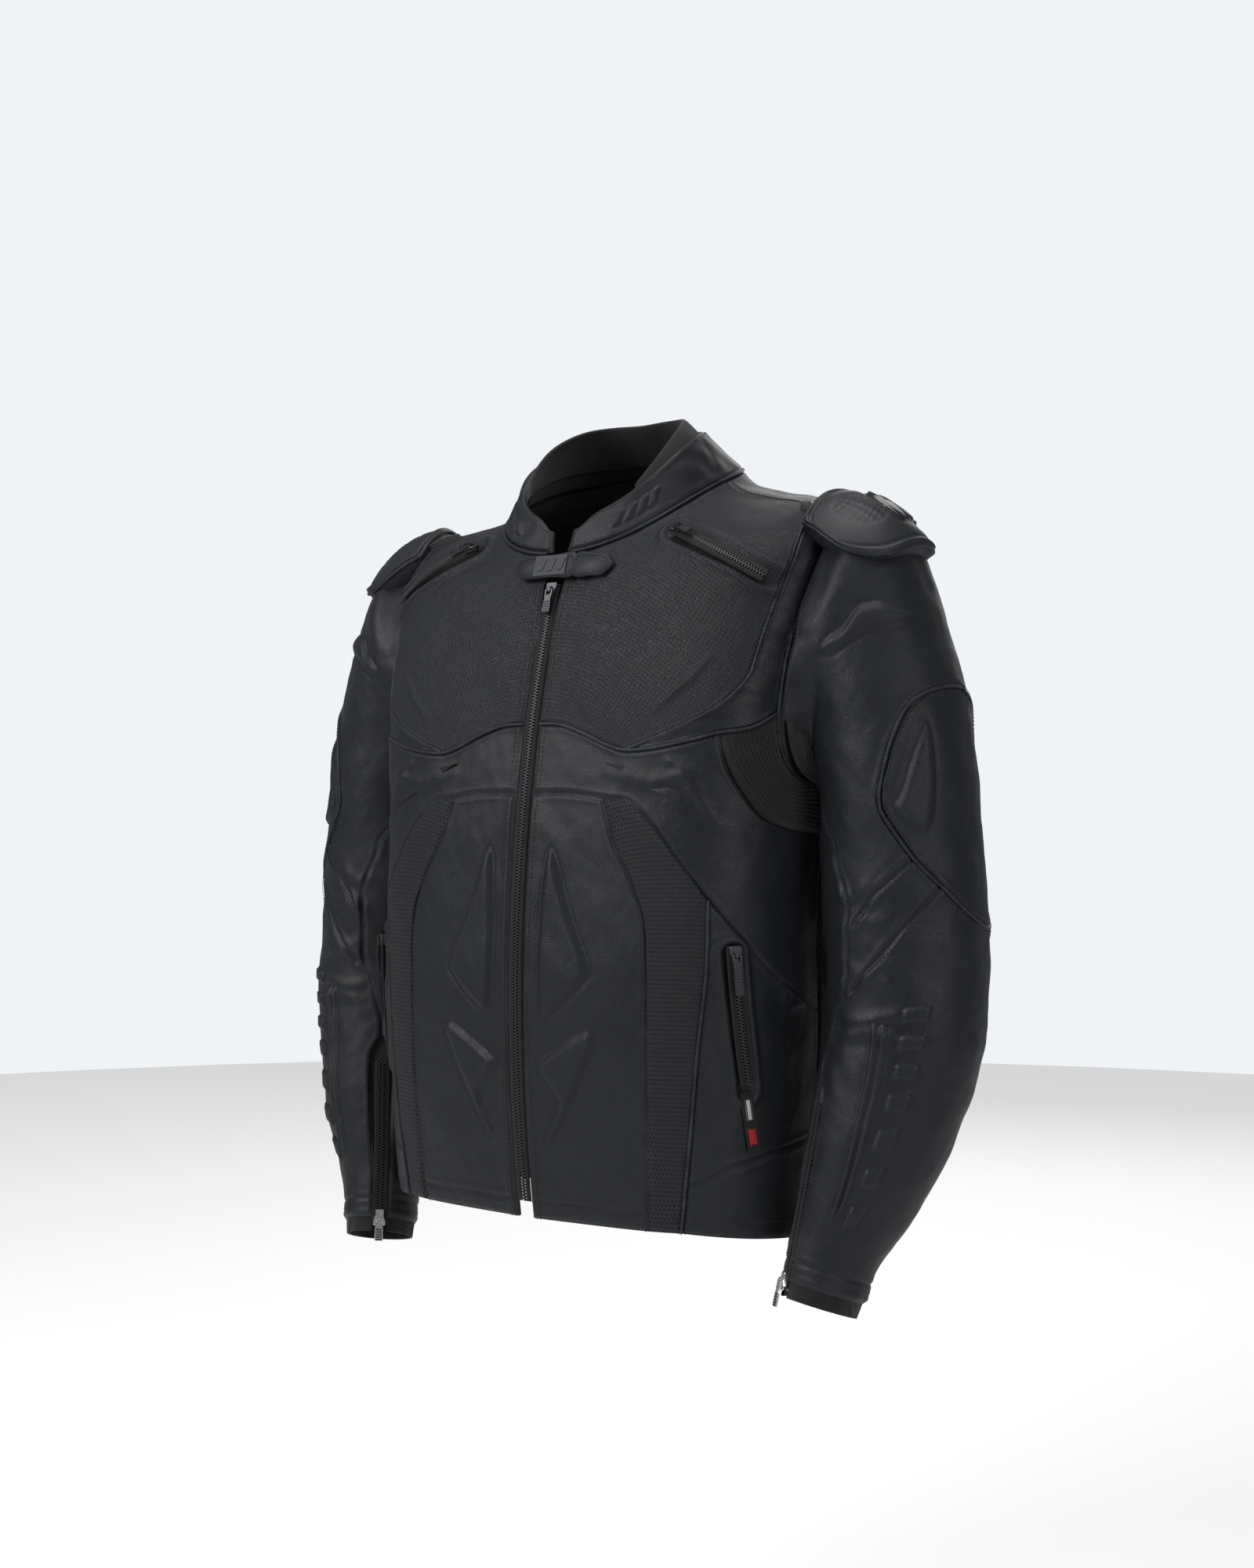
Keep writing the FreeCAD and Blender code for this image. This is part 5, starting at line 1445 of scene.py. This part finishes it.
class JACKET_OT_seams(bpy.types.Operator):
    """Sews the body: piping in the main seams, and rows of stitches beside them"""
    bl_idname = "jacket.seams"
    bl_label = "Body Seams"

    # panel, edge, and how far in each row of stitches runs
    ROWS = (("lower_front_panel", "left", 3.4, 6.6), ("lower_front_panel", "right", 2.6),
            ("lower_front_panel", "top", 2.4), ("perforated_strip", "right", 2.2),
            ("side_panel", "left", 2.6), ("side_panel", "top", 2.4), ("chest_band", "left", 3.4, 6.6),
            ("chest_band", "bottom", 2.4), ("chest_band", "top", 2.4),
            ("chest_panel", "left", 3.4, 6.6), ("chest_panel", "bottom", 2.6),
            ("chest_panel", "right", 2.6), ("armhole_strip", "left", 2.4),
            ("back_side_panel", "left", 2.6), ("back_side_panel", "right", 2.6),
            ("back_yoke", "bottom", 2.8, 5.6), ("back_yoke", "left", 2.8), ("back_yoke", "right", 2.8),
            ("back_panel", "left", 2.6), ("back_panel", "right", 2.6), ("back_hem_panel", "top", 2.6),
            ("lower_front_panel", "bottom", HEM_STITCH), ("perforated_strip", "bottom", HEM_STITCH),
            ("side_panel", "bottom", HEM_STITCH), ("back_side_panel", "bottom", HEM_STITCH),
            ("back_hem_panel", "bottom", HEM_STITCH))

    def execute(self, context):
        pitch, radius = sizes().stitch_pitch / MM, sizes().piping_radius / MM
        middle_panels = back_fills()
        for hand in SIDES:
            rows, cords, mirror = Bundle(), Bundle(), hand == "right"
            for name, where, *insets in self.ROWS:
                for inset in () if mirror and name in middle_panels else insets:
                    rows.add(*stitches(*PANELS[name].line(where, inset), pitch))
            rows.fix("body_stitches_" + hand, "thread", mirror=mirror)
            for points in (chain(WAVE, BAND_TOP[1:], GUSSET_TOP[1:]), CHEST_OUTER, ARMHOLE, STRIP_OUTER):
                cords.add(*tube(*body_line(points, 0.1), radius))
            cords.fix("body_piping_" + hand, "piping_leather", mirror=mirror)
        return {"FINISHED"}


class JACKET_OT_sleeves(bpy.types.Operator):
    """Makes the sleeves with their embossing, elbow panel, seams and knitted cuffs"""
    bl_idname = "jacket.sleeves"
    bl_label = "Sleeves"

    @staticmethod
    def lining():
        psi, s = np.meshgrid(np.linspace(0, 2 * math.pi, 73), np.linspace(0.2, 11.7, 110), indexing="ij")
        at, n = framed(sleeve_skin, psi, s, sleeve_axis)
        return at - n * 4.0

    @staticmethod
    def cuff():
        """The ribbed knit that shows under the sleeve's hem, as a folded skin."""
        turn, low = np.meshgrid(np.radians(np.linspace(-30, 306, 170)), np.linspace(11.5, 12.05, 14),
                                indexing="ij")
        edge, out = framed(sleeve_point, turn, low, sleeve_axis)
        knit = edge - out * (2.6 - 0.6 * np.abs(np.sin(turn * 42)))[..., None]
        return doubled(knit.transpose(1, 0, 2), out.transpose(1, 0, 2), 2.0)

    def execute(self, context):
        outer, under = [Panel(sleeve_skin, leather_sleeve(side_of), step, sleeve_relief, (235, 20, 200))
                        for side_of, step in ((True, 2.3), (False, 2.8))]
        elbow = ELBOW_SEAM + ELBOW_REST[1:]
        pitch = sizes().stitch_pitch / MM
        inner, cuff = self.lining(), self.cuff()
        for hand in SIDES:
            mirror = hand == "right"
            for panel, name, nodes in (
                    (outer, "sleeve_outer_", ("upper_sleeve_outer_", "forearm_outer_", "elbow_gather_")),
                    (under, "sleeve_under_", ("upper_sleeve_unders", "forearm_under_"))):
                obj = panel.build(name + hand, "smooth_leather", mirror)
                cut_pattern(obj, panel)
                bend(obj, hand, "smooth_leather", [n + hand if n.endswith("_") else n for n in nodes])
            bend(sheet_between(inner, "sleeve_lining_" + hand, "mesh_lining", mirror), hand, "mesh_lining")
            hang(cuff, "knit_cuff_" + hand, "knit_cuff", (), "forearm_" + hand, mirror)
            rows, cords = Bundle(), Bundle()
            for panel, where, inset in ((outer, "left", 2.6), (outer, "right", 2.6), (under, "left", 2.6),
                                        (outer, "top", 9.0), (under, "top", 9.0), (outer, "bottom", 2.6),
                                        (under, "bottom", 2.6)):
                rows.add(*stitches(*panel.line(where, inset), pitch))
            for seam in (elbow, UPPER_TUCK, LOWER_TUCK):
                for shift in (-3.2, 3.2):
                    rows.add(*stitches(*sleeve_line(seam, 1.3, shift), pitch))
            cords.add(*tube(*sleeve_line(elbow, 0.7), sizes().piping_radius / MM))
            for bundle, name, finish in ((rows, "sleeve_stitches_", "thread"),
                                         (cords, "sleeve_piping_", "piping_leather")):
                bend(bundle.build(name + hand, finish, mirror), hand, finish)
        return {"FINISHED"}


class JACKET_OT_collar(bpy.types.Operator):
    """Makes the collar's leather band, its facing, and the soft roll inside it"""
    bl_idname = "jacket.collar"
    bl_label = "Collar"

    @staticmethod
    def band(a, b):
        near = np.minimum(a, 1 - a) * 430.0
        top = 1 - 0.35 * np.exp(-(near / 9.0) ** 2)
        start = math.radians(4.0) + math.radians(2.0) * b
        return np.stack([start + (2 * math.pi - 2 * start) * a, b * top], -1)

    @staticmethod
    def relief(p, panel):
        phi = np.degrees(panel.p)
        turn = np.minimum(phi, 360 - phi)
        h = 0.8 * softness(p) + 0.5 * ripple(p, 22, 41) * smooth(panel.edge / 8)
        u, w = turn * 1.35, panel.q * 32
        for k in range(4):  # a plain raised badge of slanted bars
            bar = [(34 + 9 * k, 10), (40 + 9 * k, 10), (44 + 9 * k, 20), (38 + 9 * k, 20)]
            h += pad_relief(u, w, bar, 1.2, 1.6, 0.3)
        return h

    @staticmethod
    def roll():
        """The soft roll's rows of points, one for each turn round its rounded section."""
        phi, share = np.radians(np.linspace(38, 322, 150)), np.linspace(0, 1, 150)
        low, high = 0.45, 0.45 + 1.0 * (0.72 + 0.28 * np.sin(math.pi * share) ** 0.5)
        ends = smooth(np.minimum(share, 1 - share) * 28) * 0.75 + 0.25
        rows = []
        for k in np.linspace(0, 2 * math.pi, 33):
            wide = np.sign(math.cos(k)) * abs(math.cos(k)) ** 0.55
            tall = np.sign(math.sin(k)) * abs(math.sin(k)) ** 0.8
            at, n = framed(collar_point, phi, (low + high) / 2 + (high - low) / 2 * tall, body_axis)
            rows.append(at - n * (6.4 - 2.8 * wide * ends - 0.25 * ripple(at, 26, 44))[:, None])
        return np.stack(rows)

    def execute(self, context):
        panel = Panel(collar_point, self.band, 1.9, self.relief, (0, 15, 570))
        lay(panel, "collar_band_skin", "smooth_leather", ["collar_band"])
        facing = panel.base - panel.normal * 3.0
        hang(facing[::2, ::2], "collar_facing", "collar_foam")
        hang(self.roll(), "collar_roll_skin", "collar_foam", ["collar_roll"])
        rows, cord = Bundle(), Bundle()
        for where, inset in (("bottom", 2.6), ("top", 3.0), ("left", 3.0), ("right", 3.0)):
            rows.add(*stitches(*panel.line(where, inset)))
        rows.fix("collar_stitches", "thread")
        neck = np.stack([np.radians(np.linspace(6, 354, 60)), np.full(60, NECK)], -1)
        cord.add(*tube(*body_line(neck, 0.4, count=240), sizes().piping_radius / MM))
        cord.fix("collar_piping", "piping_leather")
        return {"FINISHED"}


class JACKET_OT_cups(bpy.types.Operator):
    """Moulds the shoulder cups with their rim, fine grid and glossy louvres"""
    bl_idname = "jacket.cups"
    bl_label = "Shoulder Cups"

    def execute(self, context):
        fill = coons(CUP_RIM, CUP_INNER, np.array([CUP_RIM[0], CUP_INNER[0]]),
                     np.array([CUP_RIM[-1], CUP_INNER[-1]]))
        cup = Panel(cup_point, fill, 1.5, cup_relief, CUP_CENTRE, 0.8, 3.4)
        blades = [Panel(cup_point, blade_fill(k), 1.0, lambda p, g: 2.1 * smooth(g.edge / 2.6) - 0.2,
                        CUP_CENTRE, 0.6, 2.0) for k in range(sizes().blades)]
        ring = chain(CUP_RIM, CUP_INNER[::-1], CUP_RIM[:1])
        at, n = framed(cup_point, *along(ring, np.linspace(0, 1, 260)).T,
                       lambda q: np.broadcast_to(np.array(CUP_CENTRE), q.shape))
        outward = unit(at - at.mean(0))
        steps = ((1.0, 0.0), (4.0, 1.2), (8.0, 3.2), (13.0, 5.0), (19.0, 6.0))
        seat = np.stack([at - n * (deep + 1.0) + outward * wide for deep, wide in steps])
        for hand in SIDES:
            mirror = hand == "right"
            settle(cup.build("shoulder_cup_skin_" + hand, "cup_skin", mirror), "shell", "cup_skin",
                   ["shoulder_cup_" + hand])
            cord = Bundle()
            cord.add(*tube(at - n * 2.2, n, 1.7))
            cord.fix("cup_piping_" + hand, "piping_leather", mirror=mirror)
            hang(seat, "cup_seat_" + hand, "creased_leather", mirror=mirror)
            for k, blade in enumerate(blades, 1):
                settle(blade.build("cup_louvre_%d_%s" % (k, hand), "cup_gloss", mirror), "shell", "cup_gloss")
        return {"FINISHED"}


class JACKET_OT_zips(bpy.types.Operator):
    """Makes the zips: teeth, tapes, sliders and pull tabs"""
    bl_idname = "jacket.zips"
    bl_label = "Zips"

    def execute(self, context):
        pitch = sizes().tooth_pitch / MM
        for kind in TRACKS:
            track = Track(kind)
            bright = "bright_metal" if kind == "cuff" else "gunmetal"
            for hand in (SIDES if kind != "main" else ("left",)):
                mirror, tail = hand == "right", "" if kind == "main" else "_" + hand
                body = "forearm_" + hand if kind == "cuff" else "shell"
                nodes = [kind + "_zip_chain" + tail] if kind in ("main", "cuff") else ["pocket_zip_chains"]
                teeth_of(track, pitch).fix(kind + "_zip_teeth" + tail, "black_teeth", nodes, body, mirror,
                                           False)
                for name, side_of in (("inner", -1), ("outer", 1)):
                    hang(tape_points(track, side_of), "%s_zip_tape_%s%s" % (kind, name, tail), "zip_tape",
                         (), body, mirror)
                tab, grip = pull_solid(30.0 if kind == "pocket" else 20.0, kind == "cuff")
                pull = kind + "_pull" + tail
                for solid, name, finish, owner, nodes in (
                        (slider_solid(), "slider_body", bright, kind + "_slider" + tail,
                         [kind + "_zip_slider" + tail]),
                        (tab, "pull_tab", bright, pull, [kind + "_zip_pull" + tail]),
                        (grip, "pull_grip", "badge_rubber", pull, ())):
                    solid.moved(track.place).fix("%s_%s%s" % (kind, name, tail), finish, nodes, owner,
                                                 mirror, False)
        return {"FINISHED"}


LATCH_THICK, LATCH_FOLD_X, LATCH_LEAN = 2.6, 22.0, math.radians(8.0)
LATCH_BASE = np.array((0, -79.1434, 501.0467))
LATCH_AXES = np.array([(1, 0, 0), (0, 0.307845, 0.951436), (0, -0.951436, 0.307845)])


def on_latch(verts, folded=False):
    """Points of the latch's own plane in the model; folded ones lean back past the badge's edge."""
    v = np.array(verts, float)
    if folded:
        x = v[:, 0] - LATCH_FOLD_X
        v[:, 0] = LATCH_FOLD_X + x * math.cos(LATCH_LEAN) + v[:, 2] * math.sin(LATCH_LEAN)
        v[:, 2] = v[:, 2] * math.cos(LATCH_LEAN) - x * math.sin(LATCH_LEAN)
    return LATCH_BASE + v @ LATCH_AXES


class JACKET_OT_latch(bpy.types.Operator):
    """Makes the small strap that closes over the top of the front zip"""
    bl_idname = "jacket.latch"
    bl_label = "Collar Latch"

    def execute(self, context):
        strap = rounded([(21.5, -9.3), (21.5, 9.3), (0, 9.4), (-28, 9.2), (-34.6, 3), (-34.6, -3),
                         (-28, -9.2), (0, -9.4)], 5)
        anchor = rounded([(22.2, -9.3), (38, -9.3), (47, -8.6), (54.6, -1.2), (54.6, 1.2), (47, 8.6),
                          (38, 9.3), (22.2, 9.3)], 5)
        parts = (("strap", "latch_flap", strap, False), ("anchor", "shell", anchor, True))
        for name, body, outline, folded in parts:
            verts, faces = prism(outline, 0, LATCH_THICK, 0.6)
            obj = link("latch_%s_leather" % name, on_latch(verts, folded), faces,
                       finish_of("smooth_leather"))
            settle(obj, body, "smooth_leather", ["latch_" + name])
        badge = Bundle()
        plate = rounded([(-16, -8.2), (-14, -8.5), (14, -8.5), (15, -7.5), (15, 8.2), (13, 8.5),
                         (-13, 8.5), (-16, 7.5)], 3)
        badge.add(*prism(np.clip(plate, (-16, -8.5), (15, 8.5)), LATCH_THICK, 3.7, 0.4))
        for k in range(3):  # plain ridges
            ridge = [(-12 + 9 * k, -5), (-7 + 9 * k, -5), (-4 + 9 * k, 5), (-9 + 9 * k, 5)]
            badge.add(*prism(ridge, 3.6, 4.25, 0.35))
        badge.moved(on_latch).fix("latch_badge_rubber", "badge_rubber", ["latch_badge"], "latch_flap",
                                  smooth_shade=False)
        for name, body, outline, folded in parts:
            centre = outline.mean(0)
            row = np.column_stack([centre + (outline - centre) * (0.9, 0.76),
                                   np.full(len(outline), LATCH_THICK + 0.1)])
            row = on_latch(np.vstack([row, row[:1]]), folded)
            thread = Bundle()
            thread.add(*stitches(row, np.tile(LATCH_AXES[2], (len(row), 1)), 2.8, 2.0))
            thread.fix("latch_%s_stitches" % name, "thread", (), body)
        return {"FINISHED"}


class JACKET_OT_lining(bpy.types.Operator):
    """Hangs the mesh lining inside the body"""
    bl_idname = "jacket.lining"
    bl_label = "Lining"

    def execute(self, context):
        phi, v = np.meshgrid(np.radians(np.linspace(5.5, 354.5, 150)), np.linspace(0.08, NECK, 90),
                             indexing="ij")
        at, n = framed(torso_skin, phi, v, body_axis)
        depth = 4.4 - 0.7 * np.abs(np.sin(phi * 14)) * np.abs(np.sin(v * 2.2))
        hang(at - n * depth[..., None], "body_lining_cloth", "mesh_lining", ["body_lining"])
        return {"FINISHED"}


class JACKET_OT_trim(bpy.types.Operator):
    """Adds the pocket's label, the hanger loop, the stud and the armour's finish"""
    bl_idname = "jacket.trim"
    bl_label = "Small Trim"

    def execute(self, context):
        whole = coons(side((-69, 62), (-60, 62)), side((-77, 106), (-68, 106)), side((-69, 62), (-77, 106)),
                      side((-60, 62), (-68, 106)))

        def part(a0, a1, b0, b1):
            return lambda a, b: whole(a0 + (a1 - a0) * a, b0 + (b1 - b0) * b)

        def raised(height):
            def surface(phi, v):
                at, n = framed(torso_skin, phi, v, body_axis)
                return at + n * height

            return surface

        pieces = (("pocket_label_cloth", (0, 1, 0, 1), "zip_tape", 2.6, ["pocket_label"]),
                  ("label_mark_white", (0.25, 0.75, 0.52, 0.9), "label_white", 3.0, []),
                  ("label_mark_red", (0.22, 0.78, 0.1, 0.4), "label_red", 3.0, []))
        for name, cut, finish, height, nodes in pieces:
            lay(Panel(raised(height), part(*cut), 0.9, None, BODY_MIDDLE, 0.2, 0.8), name, finish, nodes)
        turn = np.linspace(0, math.pi, 40)
        loop = np.stack([20 * np.cos(turn), np.full(40, 92.5), 589 - 20 * np.sin(turn)], -1)
        cord = Bundle()
        cord.add(*tube(loop, np.tile((0.0, 1.0, 0.0), (40, 1)), 1.8, 10, 0.7, 1.2))
        cord.fix("hanger_loop_cord", "zip_tape", ["hanger_loop"])
        for name, finish in (("latch_stud", "gunmetal"), ("shoulder_armour", "armour_foam"),
                             ("elbow_armour_left", "armour_foam"), ("elbow_armour_right", "armour_foam")):
            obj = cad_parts[name]
            for slot in obj.material_slots:
                slot.material = finish_of(finish)
            if not obj.material_slots:
                obj.data.materials.append(finish_of(finish))
        return {"FINISHED"}


class JACKET_PT_panel(bpy.types.Panel):
    """Lists the jacket's pieces, sizes and colours"""
    bl_idname = "JACKET_PT_panel"
    bl_label = "Riding Jacket"
    bl_space_type = "VIEW_3D"
    bl_region_type = "UI"
    bl_category = "Jacket"

    def draw(self, context):
        for settings in (context.scene.jacket_sizes, context.scene.jacket_colours):
            box = self.layout.box()
            for key in settings.bl_rna.properties.keys():
                if key not in ("rna_type", "name"):
                    box.prop(settings, key)
        for step in STEPS:
            self.layout.operator(step.bl_idname)


STEPS = (JACKET_OT_stage, JACKET_OT_body, JACKET_OT_seams, JACKET_OT_sleeves, JACKET_OT_collar,
         JACKET_OT_cups, JACKET_OT_zips, JACKET_OT_latch, JACKET_OT_lining, JACKET_OT_trim)
CLASSES = (JacketSizes, JacketColours) + STEPS + (JACKET_PT_panel,)


def register():
    for item in CLASSES:
        bpy.utils.register_class(item)
    bpy.types.Scene.jacket_sizes = PointerProperty(type=JacketSizes)
    bpy.types.Scene.jacket_colours = PointerProperty(type=JacketColours)


def unregister():
    del bpy.types.Scene.jacket_sizes
    del bpy.types.Scene.jacket_colours
    for item in reversed(CLASSES):
        bpy.utils.unregister_class(item)


def main():
    register()
    for step in STEPS:
        getattr(bpy.ops.jacket, step.bl_idname.split(".")[1])()
    bpy.context.view_layer.update()


if __name__ == "__main__":
    main()
